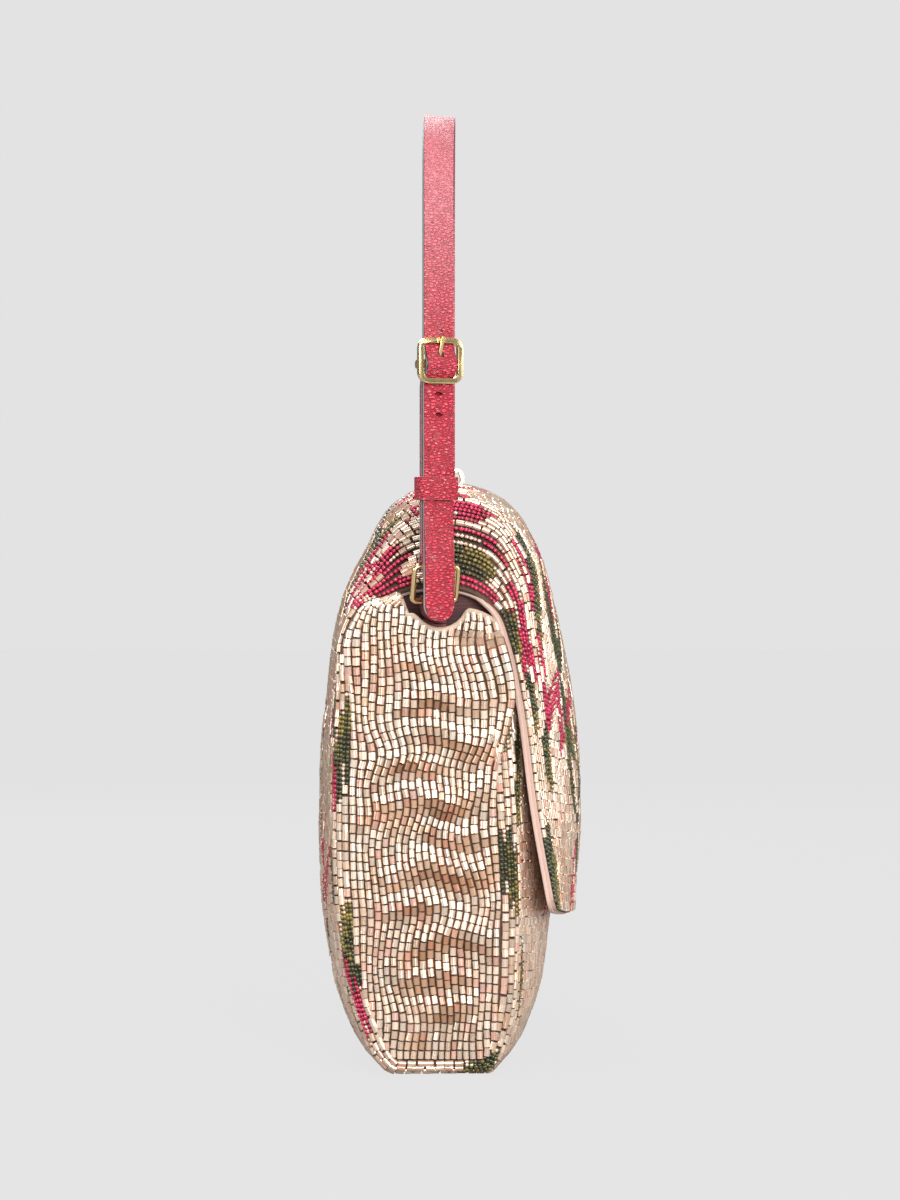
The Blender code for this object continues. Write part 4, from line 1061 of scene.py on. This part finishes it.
def even_columns(lines, pitch):
    """Adds bead lines where a slope spreads the columns, and gives every line its room."""
    full = []
    extra = []
    stack = [line[1] for line in lines]
    gaps = [np.linalg.norm(b - a, axis=1) for a, b in zip(stack, stack[1:])]
    counts = [np.maximum(np.round(g / pitch) - 1, 0) for g in gaps]
    shares = [g / (c + 1) for g, c in zip(gaps, counts)]
    for k, (u, points, away, px, pv) in enumerate(lines):
        left = shares[k - 1] if k else shares[0]
        right = shares[k] if k < len(shares) else shares[-1]
        full.append((u, points, away, px, pv, (left + right) / 2))
    for k, count in enumerate(counts):
        if not count.any():
            continue
        first, last = lines[k], lines[k + 1]
        edges = np.flatnonzero(np.diff(np.concatenate([[-1], count, [-1]])))
        for low, high in zip(edges, edges[1:]):
            n = int(count[low])
            if n < 1 or high - low < 4:
                continue
            run = slice(low, high)
            for m in range(1, n + 1):
                f = m / (n + 1)
                blend = [a[run] * (1 - f) + b[run] * f for a, b in zip(first[1:5], last[1:5])]
                extra.append((first[0] * (1 - f) + last[0] * f, *blend, shares[k][run]))
    return full + extra


def columns_over(half, pitch):
    """Evenly spaced middles of bead columns from side to side."""
    count = int(2 * half / pitch)
    return np.linspace(-half + pitch / 2, half - pitch / 2, count)


def swell(points, away, u, rows, half):
    """Adds the cloth's slow unevenness to a line of points."""
    fade = edge_fade(u, half)
    v = mid_place(rows)
    lift = np.array([billow(points[k, 0], v[k]) for k in range(len(v))]) * fade
    base = np.clip(np.minimum(np.abs(rows - 6.3), np.abs(rows - 11.7)) / 1.5, 0, 1)
    lift = np.where((rows > 6.3) & (rows < 11.7), 0, lift * base)
    return points + away * lift[:, None]


def strip_path(u, first, last, samples):
    """Rows, points and outward directions of a line along the front, base or back."""
    start = first + mouth_row(u) if first < 1 else first
    rows = np.linspace(start, last, samples)
    points, away = strip_line(u, rows)
    return rows, swell(points, away, u, rows, BODY_HALF), away


def flap_path(u, rows, reach=0.0):
    """Points and outward directions of a line along the flap, reach further to the side."""
    line = section_line(u, rows)
    points = np.column_stack([u * (1 + reach / FLAP_HALF) + np.zeros(len(rows)), line])
    away = np.column_stack([np.zeros(len(rows)), outward(line)])
    return swell(points, away, u, rows, FLAP_HALF), away


def strip_paths(first, last, samples):
    """Bead lines over the front, base and back strips between two rows."""
    look = bpy.context.scene.bag_beads
    found = []
    for u in columns_over(FLAT + ROUND_CORNER - 0.2, look.pitch):
        rows, points, away = strip_path(u, first, last, samples)
        found.append((u, points, away, np.full(len(rows), u), mid_place(rows)))
    kept = []
    for line in even_columns(found, look.pitch):
        turn = max(abs(line[0]) - look.pitch * 0.6 - FLAT, 0.0) / CORNER
        here = np.interp(line[4], MID_LENGTH, MID_ROWS)
        room = 0.35 + (inset(here) - 0.55) * ease((here - 1.5) / 0.6)
        run = np.flatnonzero(CORNER * (1 - math.cos(turn)) <= room)
        if len(run) > 8:
            run = slice(run[0], run[-1] + 1)
            kept.append((line[0], *[values[run] for values in line[1:]]))
    return kept


def flap_paths(first, last, samples):
    """Bead lines over the flap between two rows."""
    look = bpy.context.scene.bag_beads
    found = []
    for u in columns_over(FLAP_HALF + 0.2, look.pitch):
        rows = flap_rows(u, first, last, samples)
        points, away = flap_path(u, rows)
        found.append((u, points, away, np.full(len(rows), u), mid_place(rows)))
    return even_columns(found, look.pitch)


# Sizes and colours that can be changed


class BeadLook(bpy.types.PropertyGroup):
    pitch: FloatProperty(
        name="Column pitch", description="Distance between bead columns, in millimetres",
        default=2.42, min=1.5,
    )
    fill: FloatProperty(
        name="Bead width", description="Share of its column that a tube bead fills",
        default=0.83, min=0.3, max=1.0,
    )
    length: FloatProperty(
        name="Bead step", description="Distance from bead to bead in a column, in millimetres",
        default=3.1, min=1.5,
    )
    gap: FloatProperty(
        name="Bead gap", description="Gap between beads in a column, in millimetres",
        default=0.4, min=0.0,
    )
    height: FloatProperty(
        name="Bead height", description="Height of a tube bead, in millimetres",
        default=2.0, min=0.5,
    )
    seed: FloatProperty(
        name="Seed bead", description="Size of a round bead, in millimetres",
        default=1.42, min=0.5,
    )
    most: IntProperty(
        name="Beads in a piece", description="Most tube beads that one piece holds",
        default=6800, min=100,
    )


class BagColours(bpy.types.PropertyGroup):
    cream: FloatVectorProperty(
        name="Cream beads", description="Palest bead colour",
        subtype="COLOR", default=(0.96, 0.83, 0.70),
    )
    honey: FloatVectorProperty(
        name="Honey beads", description="Middle bead colour",
        subtype="COLOR", default=(0.78, 0.51, 0.34),
    )
    # Copper comes at random, and also serves as painted shade on the end panels' fold slopes that
    # face down.
    copper: FloatVectorProperty(
        name="Copper beads", description="Bead colour in the folds",
        subtype="COLOR", default=(0.45, 0.20, 0.09),
    )
    leaf_dark: FloatVectorProperty(
        name="Dark leaf", description="Dark side of the leaves",
        subtype="COLOR", default=(0.045, 0.055, 0.022),
    )
    leaf_gold: FloatVectorProperty(
        name="Golden leaf", description="Light side of the leaves",
        subtype="COLOR", default=(0.28, 0.21, 0.045),
    )
    petal: FloatVectorProperty(
        name="Petal", description="Petal colour",
        subtype="COLOR", default=(0.68, 0.035, 0.12),
    )
    petal_deep: FloatVectorProperty(
        name="Deep petal", description="Shaded petal colour",
        subtype="COLOR", default=(0.42, 0.015, 0.06),
    )
    leather: FloatVectorProperty(
        name="Strap leather", description="Face of the strap",
        subtype="COLOR", default=(0.84, 0.016, 0.055),
    )
    lining: FloatVectorProperty(
        name="Flap leather", description="Inner leather of the flap",
        subtype="COLOR", default=(0.67, 0.46, 0.38),
    )
    gold: FloatVectorProperty(
        name="Metal", description="Plated fittings",
        subtype="COLOR", default=(0.94, 0.71, 0.36),
    )


class StudioLook(bpy.types.PropertyGroup):
    ground: FloatVectorProperty(
        name="Backdrop", description="Colour of the backdrop",
        subtype="COLOR", default=(0.768, 0.768, 0.768),
    )
    key: FloatProperty(
        name="Key light", description="Power of the large front light, in watts",
        default=36.0, min=0.0,
    )
    fill: FloatProperty(
        name="Fill light", description="Power of the light on the bag's back, in watts",
        default=13.0, min=0.0,
    )
    side: FloatProperty(
        name="Side light", description="Power of the light on the flap, in watts",
        default=9.0, min=0.0,
    )
    top: FloatProperty(
        name="Top light", description="Power of the overhead light, in watts",
        default=12.0, min=0.0,
    )
    back: FloatProperty(
        name="Back light", description="Power of the light on the hook end, in watts",
        default=10.0, min=0.0,
    )
    air: FloatProperty(
        name="Room light", description="Light from all round, as a share of the backdrop",
        default=0.3, min=0.0,
    )
    floor: FloatProperty(
        name="Floor glow", description="How far the floor shines by itself",
        default=0.984, min=0.0,
    )


# Materials shared between pieces, made once
FINISHES = {}


def finish(name):
    """The material of that name, made when it is first asked for."""
    if name in FINISHES:
        return FINISHES[name]
    colours = bpy.context.scene.bag_colours
    red = tuple(colours.leather)
    pink = tuple(colours.lining)
    makers = {
        "beads": bead_finish,
        "backing": backing_finish,
        # In the red leather, the deep red of the creases is painted shade. The pale pink is a
        # painted sheen and painted glints, with some random paler tone.
        "red": lambda: grained_leather(
            "red grained leather", tuple(c * 0.34 for c in red), red, (0.95, 0.42, 0.46),
            780.0, 0.001, 0.3,
        ),
        "edge": edge_paint,
        "pink": lambda: smooth_leather(
            "dusty pink leather", tuple(c * 0.8 for c in pink), pink,
        ),
        "burgundy": lambda: smooth_leather(
            "burgundy leather", (0.09, 0.02, 0.02), (0.20, 0.05, 0.045),
        ),
        "lining": lambda: woven_finish(
            "burgundy lining cloth", (0.035, 0.010, 0.010), (0.10, 0.032, 0.030),
        ),
        "binding": lambda: woven_finish(
            "beige binding cloth", (0.46, 0.33, 0.24), (0.74, 0.59, 0.46), 0.75, 2400.0,
        ),
        "gold": lambda: gold_finish("pale gold plating", tuple(colours.gold), 0.13),
        "snap": lambda: gold_finish("snap plating", (0.78, 0.64, 0.38), 0.3),
        "board": lambda: woven_finish(
            "board cover", (0.08, 0.03, 0.03), (0.15, 0.06, 0.055), 0.9,
        ),
        "hole": shadow_finish,
    }
    FINISHES[name] = makers[name]()
    return FINISHES[name]


# Operators


class BAG_OT_body_cloth(bpy.types.Operator):
    """Cloth of the front, base and back"""

    bl_idname = "bag.body_cloth"
    bl_label = "Body cloth"

    def execute(self, context):
        corner = [FLAT + CORNER * math.pi / 2 * k / 4 for k in range(1, 5)]
        inner = [FLAT * math.sin(math.pi / 2 * k / 20) for k in range(-20, 21)]
        across = [-c for c in reversed(corner)] + inner + corner

        def cloth(name, node, first, last, count):
            lines = []
            for u in across:
                _, points, away = strip_path(u, first, last, count + 1)
                lines.append(points - away * CLOTH_DEPTH)
            bm = shaped_grid(len(across) - 1, count, lambda i, j: lines[i][j])
            thicken(bm, CLOTH_THICK)
            made = to_object(name, bm, [finish("backing")], "bag", 60)
            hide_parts(node)

        cloth("front_cloth", "front_panel", 0.0, 8.1, 48)
        cloth("base_cloth", "bottom_panel", 8.2, 9.8, 6)
        cloth("back_cloth", "back_panel", 9.9, HINGE_LOW, 40)
        return {"FINISHED"}


class BAG_OT_flap_cloth(bpy.types.Operator):
    """Cloth of the flap, its dusty pink leather that shows as an edge, and their soft hinge"""

    bl_idname = "bag.flap_cloth"
    bl_label = "Flap cloth"

    def execute(self, context):
        across = [FLAP_HALF * math.sin(math.pi / 2 * k / 26) for k in range(-26, 27)]

        def layer(name, body, first, last, count, grow, kind):
            depth, thick, material, slot = kind
            lines = []
            for u in across:
                rows = flap_rows(u, first, last, count + 1)
                reach = grow - (grow + (3.0 if grow else 1.2)) * ease((22.4 - rows) / 0.9)
                points, away = flap_path(u, rows, reach)
                points = points - away * depth
                if last == EDGE and grow:
                    end = points[-1] - points[-2]
                    points[-1] = points[-1] + end / np.linalg.norm(end) * grow
                lines.append(points)
            bm = shaped_grid(len(across) - 1, count, lambda i, j: lines[i][j])
            thicken(bm, thick, 1)
            for face in bm.faces:
                if face.material_index == 1 and face.calc_center_median().z > RIM_TOP * MM:
                    face.material_index = 0
            if grow:
                round_edges(bm, 0.9, 0.35, 2)
            return to_object(name, bm, [finish(material), finish("pink")], body, 60)

        cloth = (CLOTH_DEPTH, CLOTH_THICK, "backing", "beaded_cloth")
        leather = (FLAP_LEATHER_DEPTH, FLAP_LEATHER_THICK, "pink", "pink_leather")
        outer = layer("flap_cloth", "flap", HINGE_HIGH, EDGE, 52, 0.0, cloth)
        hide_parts("flap_panel")
        inner = layer("flap_leather", "flap", HINGE_HIGH, EDGE, 52, 0.5, leather)
        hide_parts("flap_lining")
        for name, low, kind in (
            ("hinge_cloth", HINGE_LOW, cloth),
            ("hinge_leather", HINGE_LEATHER_LOW, leather),
        ):
            crossing = layer(name, None, low, HINGE_HIGH, 12, 0.0, kind)
            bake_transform(crossing)
        return {"FINISHED"}


class BAG_OT_end_panels(bpy.types.Operator):
    """Cloth and beads of the two end panels, with their soft folds"""

    bl_idname = "bag.end_panels"
    bl_label = "End panels"

    def execute(self, context):
        look = context.scene.bag_beads
        shape = bugle_shape("bugle_pattern")
        for side, word in ((-1, "left"), (1, "right")):
            tops = [self.column_top(i / END_ACROSS, side) for i in range(END_ACROSS + 1)]

            def place(i, j):
                z = GUSSET_LOW + (tops[i] - GUSSET_LOW) * j / END_UP
                low, high = end_edges(z)
                y = low + (high - low) * i / END_ACROSS
                return (side * (end_x(y, z) - CLOTH_DEPTH + fold_relief(side, y, z)), y, z)

            bm = shaped_grid(END_ACROSS, END_UP, place)
            thicken(bm, CLOTH_THICK)
            cloth = to_object(
                f"end_cloth_{word}", bm, [finish("backing")], "bag", 60,
            )
            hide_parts(f"gusset_{word}")
            beads = BeadBag(31 + side)
            for line in self.columns(side, look.pitch):
                self.lay(beads, side, look, *line)
            beads.sow(f"end_beads_{word}", shape, "bag", finish("beads"), look.most)
        bpy.data.objects.remove(shape)
        return {"FINISHED"}

    def column_top(self, share, side):
        """Height where a line at that share of the panel's width meets its top edge."""
        z = 150.0
        for _ in range(24):
            low, high = end_edges(z)
            y = low + (high - low) * share
            z = 0.5 * z + 0.5 * (top_edge(y, side) - 0.5 - 0.9 * ease((y - 10.0) / 4.0))
        return z

    def columns(self, side, pitch):
        """Lines (y, z) of bead columns: they fan out with the edges, and end at them."""
        found = []
        wide_z = 62.0
        past = 1.3
        front_mid, back_mid = end_edges(wide_z)
        count = int(round((back_mid - front_mid) / pitch))
        z = np.linspace(GUSSET_LOW, GUSSET_TOP, 320)
        front, back = end_edges(z)
        low = ease((wide_z - z) / 14.0)
        lines = []
        for k in range(count):
            fanned = front + (back - front) * (k + 0.5) / count
            dropped = np.interp(wide_z, z, fanned) * (0.93 + 0.07 * z / wide_z)
            y = fanned * (1 - low) + dropped * low
            sway = np.clip(np.minimum(y - front, back - y) / 9.0, 0, 1)
            lines.append(y + sway * np.array([drift(side, a, b) for a, b in zip(y, z)]))
        stack = np.array(lines)
        lean = np.gradient(stack, z, axis=1)
        spacing = np.gradient(stack, axis=0) / np.sqrt(1 + lean**2)
        for y, gap in zip(stack, np.clip(spacing, 1.5, 3.3)):
            tops = np.array([top_edge(a, side) for a in y])
            keep = (y > front - past) & (y < back + past) & (z < tops)
            if keep.sum() < 8:
                continue
            run = slice(int(np.argmax(keep)), len(keep) - int(np.argmax(keep[::-1])))
            found.append((y[run], z[run], gap[run]))
        return found

    def lay(self, beads, side, look, y, z, room):
        """Lays tube beads down one column, over the folds. Beads on fold slopes that face down
        are tinted copper as painted shade.
        """
        relief = np.array([fold_relief(side, a, b) for a, b in zip(y, z)])
        x = side * (np.array([end_x(a, b) for a, b in zip(y, z)]) + relief)
        points = np.column_stack([x, y, z])
        length = length_along(points)
        count = max(int(round(length[-1] / look.length)), 1)
        step = length[-1] / count
        phase = beads.chance.uniform(-0.5, 0.5) * step
        middle = np.arange(count) + 0.5
        at = step * middle + phase * np.sin(np.pi * middle / count)
        p = read_along(length, points, at)
        t = heading(length, points, at, 1.0)
        across = np.array([end_x(a[1] + 0.5, a[2]) - end_x(a[1] - 0.5, a[2]) for a in p])
        sideways = np.column_stack([side * across, np.ones(len(p)), np.zeros(len(p))])
        n = np.cross(t, sideways)
        n = unit(n * np.sign(n[:, 0:1]) * side)
        # Painted shade: beads on fold slopes that face down turn copper, and random patches add
        # copper tone.
        tip = np.interp(at, length, np.gradient(relief, z))
        clouds = np.array([noise.noise((a[1] * 0.07, a[2] * 0.1, 4.0)) for a in p])
        tone_and_fold_shade = np.clip(np.clip(tip * 3.2, 0, 1) + 0.45 * clouds, 0, 1)
        beads.add_bugles(p, t, n, BEAD_DEPTH, np.interp(at, length, room), step, tone_and_fold_shade)


class BAG_OT_body_beads(bpy.types.Operator):
    """Beads over the front, base and back, and over the flap"""

    bl_idname = "bag.body_beads"
    bl_label = "Body and flap beads"

    def execute(self, context):
        look = context.scene.bag_beads
        bugle = bugle_shape("tube_pattern")
        seed = seed_shape("seed_pattern")
        foot, back_end, chest, end = (float(v) for v in mid_place([9.0, 17.5, 24.4, 27.0]))
        motifs = []
        # seed, half width, from, to, and the steps across and along
        for spread in (
            (5, 100, foot + 42, back_end + 10, 46, 58),
            (12, 100, 10, foot - 34, 46, 58),
            (23, 100, back_end, end, 44, 58),
        ):
            motifs += scatter_motifs(*spread)
        # seed, places across, from, to, lengths, widths, gaps and the share of leaves
        for spray in (
            (7, (96, 104, 111, 118, 124), back_end - 8, chest, (28, 56), (6, 10), (2, 10), 0.45),
            (10, (106, 117), chest, end - 14, (28, 44), (8, 14), (14, 34), 0.7),
            (8, (120, 129), 14, foot - 16, (26, 44), (6, 10), (26, 44), 1.0),
            (9, (120, 129), foot + 26, back_end, (26, 44), (6, 10), (18, 34), 1.0),
            (14, (112, 124), foot + 26, back_end, (20, 34), (4, 6), (36, 60), 0.0),
        ):
            motifs += end_sprays(*spray)

        def pattern(x, v):
            return read_motifs(motifs, x, v)

        def group(name, lines, body, chance_seed, depth=BEAD_DEPTH):
            bugles, seeds = BeadBag(chance_seed), BeadBag(chance_seed + 1)
            bead_lines(lines, bugles, seeds, pattern, depth)
            beads = finish("beads")
            made = bugles.sow(f"{name}_tubes", bugle, body, beads, look.most)
            made += seeds.sow(f"{name}_seeds", seed, body, beads, int(look.most * SEEDS_PER_TUBE))
            return made

        group("front_beads", strip_paths(0.05, 7.4, 260), "bag", 41)
        group("base_beads", strip_paths(7.42, 10.6, 100), "bag", 51, BASE_BEAD_DEPTH)
        group("back_beads", strip_paths(10.62, HINGE_LOW, 220), "bag", 61)
        hinge = flap_paths(HINGE_LOW + 0.02, HINGE_HIGH, 60)
        for piece in group("hinge_beads", hinge, None, 71):
            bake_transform(piece)
        group("flap_beads", flap_paths(HINGE_HIGH + 0.01, EDGE - 0.01, 320), "flap", 81)
        for shape in (bugle, seed):
            bpy.data.objects.remove(shape)
        return {"FINISHED"}


class BAG_OT_inside(bpy.types.Operator):
    """Lining, pocket, board and the bound edges of the mouth"""

    bl_idname = "bag.inside"
    bl_label = "Inside"

    def execute(self, context):
        def rumple(bm):
            bmesh.ops.subdivide_edges(bm, edges=bm.edges[:], cuts=1, use_grid_fill=True)
            bm.normal_update()
            moves = [(v, v.normal * 0.0004 * noise.noise(v.co * 40)) for v in bm.verts]
            for v, move in moves:
                v.co -= move

        dressed_copy("lining", "lining_bag", [finish("lining")], 0.15, 1, paint=rumple)
        dressed_copy("slip_pocket", "slip_pocket_cloth", [finish("lining")], 0.2, 2)
        refinish(frame["nodes"]["base_board"].data, finish("board"))
        self.binding()
        return {"FINISHED"}

    def binding(self):
        """A rolled cloth edge along the front of the mouth and the tops of the ends."""
        xs = np.linspace(-BODY_HALF + 3.4, BODY_HALF - 3.4, 70)
        front = []
        for x in xs:
            line = section_line(x, mouth_row(x) + np.array([0.0, 0.02]))
            out = outward(line)[0]
            y, z = line[0] - out * 1.1
            front.append((x, y, z + 0.35))
        roll(front, 1.25, "mouth_binding", finish("binding"), "bag")
        for side, word in ((-1, "left"), (1, "right")):
            ys = np.linspace(-19.8, 14.5, 66)
            top = []
            for y in ys:
                tuck = float(ease((y - 9.5) / 6.0))
                z = top_edge(y, side) + 0.25 * noise.noise((y * 0.2, side, 0)) - 1.6 * tuck
                top.append((side * (end_x(y, z) - 1.0 - 1.8 * tuck), y, z - 0.2))
            roll(top, 0.95, f"end_binding_{word}", finish("binding"), "bag")
            self.rise(side, word)

    def rise(self, side, word):
        """The lining stands a little above the end panel, inside it. It closes the view into the
        bag, and its dark cloth, put where the inside under the flap lies in shade, is partly
        painted shade.
        """
        front = 21.0
        back = 21.0 if side < 0 else 28.0

        def place(i, j):
            y = -front + (front + back) * i / RISE_ACROSS
            share = j / RISE_UP
            x = RISE_X - 4.5 * share * share
            rows = np.linspace(17.5, 24.5, 90)
            line = section_line(x, rows)
            order = np.argsort(line[:, 0])
            under = np.interp(y, line[order, 0], line[order, 1]) - 4.9
            z = RISE_LOW + (min(RISE_TOP, under) - RISE_LOW) * share
            return (side * x, y + 0.4 * math.sin(i * 1.7) * share, z)

        bm = shaped_grid(RISE_ACROSS, RISE_UP, place)
        thicken(bm, 0.8)
        to_object(f"lining_rise_{word}", bm, [finish("lining")], "bag", 60)


class BAG_OT_straps(bpy.types.Operator):
    """Grained straps with painted edges, the keeper and the ring tabs"""

    bl_idname = "bag.straps"
    bl_label = "Straps"

    def execute(self, context):
        def painted(bm):
            """Marks the cut edges of a strap and how far through it each point lies."""
            depth = bm.verts.layers.float.new("through")
            bm.normal_update()
            for face in bm.faces:
                if abs(face.normal.y) > 0.72:
                    face.material_index = 1
            for v in bm.verts:
                rims = [f for f in v.link_faces if f.material_index == 1]
                if rims:
                    lean = v.normal - max(rims, key=lambda f: f.calc_area()).normal
                    outer = lean.x * (-1 if v.co.x < 0 else 1) + lean.z > 0
                    v[depth] = 1.0 if outer else 0.0

        def cut_ends(bm):
            """Marks the upper and lower cut edges of the keeper."""
            depth = bm.verts.layers.float.new("through")
            bm.normal_update()
            for face in bm.faces:
                if abs(face.normal.z) > 0.8:
                    face.material_index = 1
            for v in bm.verts:
                v[depth] = 0.4

        finishes = [finish("red"), finish("edge")]
        dressed_copy("handle_strap", "handle_leather", finishes, 0.22, 2, 50, painted)
        dressed_copy("buckle_strap", "buckle_leather", finishes, 0.15, 2, 50, painted)
        dressed_copy("keeper", "keeper_leather", finishes, 0.25, 2, 50, cut_ends)
        tabs = [finish("burgundy")]
        for word in ("left", "right"):
            dressed_copy(f"ring_tab_{word}", f"tab_foot_{word}", tabs, 0.15, 2, 50)
            dressed_copy(f"ring_loop_{word}", f"tab_loop_{word}", tabs, 0.15, 2, 50)
        return {"FINISHED"}


class BAG_OT_fittings(bpy.types.Operator):
    """Rings, buckle, snap hook and the magnetic snap"""

    bl_idname = "bag.fittings"
    bl_label = "Metal fittings"

    def execute(self, context):
        def fuller(bm):
            """Makes up for the thickness that the wire loses as it is rounded."""
            for v in bm.verts:
                v.co += v.normal * (WIRE_LOSS * MM)

        gold = [finish("gold")]
        for word in ("left", "right"):
            paint = fuller if word == "left" else None
            ring = dressed_copy(
                f"ring_{word}", f"round_ring_{word}", gold, 0.0, smooth_angle=180, paint=paint,
            )
            soft = ring.modifiers.new("round wire", "SUBSURF")
            soft.levels = soft.render_levels = 2
        dressed_copy("buckle_frame", "buckle_metal", gold, 0.42, 3, 60)
        dressed_copy("hook_eye", "eye_metal", gold, 0.4, 3, 60)
        dressed_copy("hook_body", "hook_metal", gold, 0.35, 3, 60)
        dressed_copy("hook_gate", "gate_metal", gold, 0.2, 2, 60)
        dressed_copy("buckle_tongue", "tongue_metal", gold, 0.12, 2, 60)
        for name, kind in (
            ("buckle_bar", "gold"), ("gate_pin", "gold"), ("gate_spring", "gold"),
            ("snap_body_half", "snap"), ("snap_flap_half", "snap"),
        ):
            refinish(frame["nodes"][name].data, finish(kind))
        return {"FINISHED"}


class BAG_OT_sheets(bpy.types.Operator):
    """Makes no change to any sheet"""

    bl_idname = "bag.sheets"
    bl_label = "Cut sizes"

    def execute(self, context):
        return {"FINISHED"}


# Each light's place, the point that it faces and its width, and the camera's place, in
# metres. A light's power is the setting of its name
LIGHTS = (
    ("key", (-1.7, -0.4, 0.68), (0, 0, 0.12), 1.1),
    ("fill", (-0.9, 1.5, 0.6), (0, 0, 0.15), 0.9),
    ("side", (-0.5, -1.6, 0.5), (0, 0, 0.12), 0.9),
    ("top", (0.1, 0.1, 1.7), (0, 0, 0.1), 0.9),
    ("back", (1.6, 0.3, 1.0), (0, 0, 0.15), 0.9),
)
EYE_PLACE = (-1.553, -0.0033, 0.159)
EYE_LENS = 127.6


class BAG_OT_studio(bpy.types.Operator):
    """Floor, backdrop, lights and camera"""

    bl_idname = "bag.studio"
    bl_label = "Studio"

    def execute(self, context):
        look = context.scene.bag_studio
        ground = tuple(look.ground)
        bm = bmesh.new()
        bmesh.ops.create_grid(bm, x_segments=1, y_segments=1, size=12.0)
        floor = to_object("studio_floor", bm, [], None)
        m = Recipe("studio floor", ground, roughness=1.0, specular_ior_level=0.0)
        m.set("Base Color", (0.02, 0.02, 0.02, 1.0))
        m.set("Emission Color", (*ground, 1.0))
        m.set("Emission Strength", look.floor)
        dull = m.node("ShaderNodeBsdfDiffuse", output="BSDF", Color=(0.4, 0.4, 0.4, 1.0))
        seen = m.node("ShaderNodeLightPath", output="Is Camera Ray")
        glow = Wire(m.tree, m.shader.outputs["BSDF"])
        both = m.node("ShaderNodeMixShader", output="Shader", _0=seen, _1=dull, _2=glow)
        m.tree.links.new(both.socket, m.tree.nodes["Material Output"].inputs["Surface"])
        floor.data.materials.append(m.material)
        self.air(context, ground, look.air)
        for name, place, target, size in LIGHTS:
            self.light(f"{name} light", place, target, size, getattr(look, name))
        eye = bpy.data.cameras.new("camera")
        eye.lens = EYE_LENS
        eye.sensor_width = 36.0
        eye.clip_start, eye.clip_end = 0.05, 60.0
        camera = place_object("camera", eye)
        camera.location = EYE_PLACE
        camera.rotation_euler = (math.radians(90), 0, math.radians(-90))
        context.scene.camera = camera
        context.scene.view_settings.view_transform = "Standard"
        return {"FINISHED"}

    def air(self, context, ground, strength):
        """A pale backdrop all round, dimmer as a light than as a backdrop."""
        world = bpy.data.worlds.new("studio air")
        world.use_nodes = True
        tree = world.node_tree
        seen = tree.nodes["Background"]
        seen.inputs["Color"].default_value = (*ground, 1.0)
        felt = tree.nodes.new("ShaderNodeBackground")
        felt.inputs["Color"].default_value = (*ground, 1.0)
        felt.inputs["Strength"].default_value = strength
        path = tree.nodes.new("ShaderNodeLightPath")
        mix = tree.nodes.new("ShaderNodeMixShader")
        tree.links.new(path.outputs["Is Camera Ray"], mix.inputs["Fac"])
        tree.links.new(felt.outputs["Background"], mix.inputs[1])
        tree.links.new(seen.outputs["Background"], mix.inputs[2])
        tree.links.new(mix.outputs["Shader"], tree.nodes["World Output"].inputs["Surface"])
        context.scene.world = world

    def light(self, name, place, target, size, power):
        """A round lamp that faces its target."""
        lamp = bpy.data.lights.new(name, "AREA")
        lamp.shape = "DISK"
        lamp.size = size
        lamp.energy = power
        made = place_object(name, lamp)
        made.location = place
        made.rotation_euler = (Vector(target) - Vector(place)).to_track_quat("-Z", "Y").to_euler()


class BAG_PT_panel(bpy.types.Panel):
    """Lists the bag's settings and its makers"""

    bl_idname = "BAG_PT_panel"
    bl_label = "Beaded bag"
    bl_space_type = "VIEW_3D"
    bl_region_type = "UI"
    bl_category = "Bag"

    def draw(self, context):
        layout = self.layout
        for holder in ("bag_beads", "bag_colours", "bag_studio"):
            group = getattr(context.scene, holder)
            box = layout.box()
            for key in group.bl_rna.properties.keys():
                if key not in ("rna_type", "name"):
                    box.prop(group, key)
        for step in STEPS:
            layout.operator(step.bl_idname)


GROUPS = (("bag_beads", BeadLook), ("bag_colours", BagColours), ("bag_studio", StudioLook))
STEPS = (
    BAG_OT_studio,
    BAG_OT_body_cloth,
    BAG_OT_flap_cloth,
    BAG_OT_end_panels,
    BAG_OT_body_beads,
    BAG_OT_inside,
    BAG_OT_straps,
    BAG_OT_fittings,
    BAG_OT_sheets,
)


def register():
    for holder, group in GROUPS:
        bpy.utils.register_class(group)
        setattr(bpy.types.Scene, holder, PointerProperty(type=group))
    for step in STEPS:
        bpy.utils.register_class(step)
    bpy.utils.register_class(BAG_PT_panel)


def unregister():
    bpy.utils.unregister_class(BAG_PT_panel)
    for step in reversed(STEPS):
        bpy.utils.unregister_class(step)
    for holder, group in reversed(GROUPS):
        delattr(bpy.types.Scene, holder)
        bpy.utils.unregister_class(group)


def main():
    register()
    for step in STEPS:
        area, verb = step.bl_idname.split(".")
        getattr(getattr(bpy.ops, area), verb)()


if __name__ == "__main__":
    main()
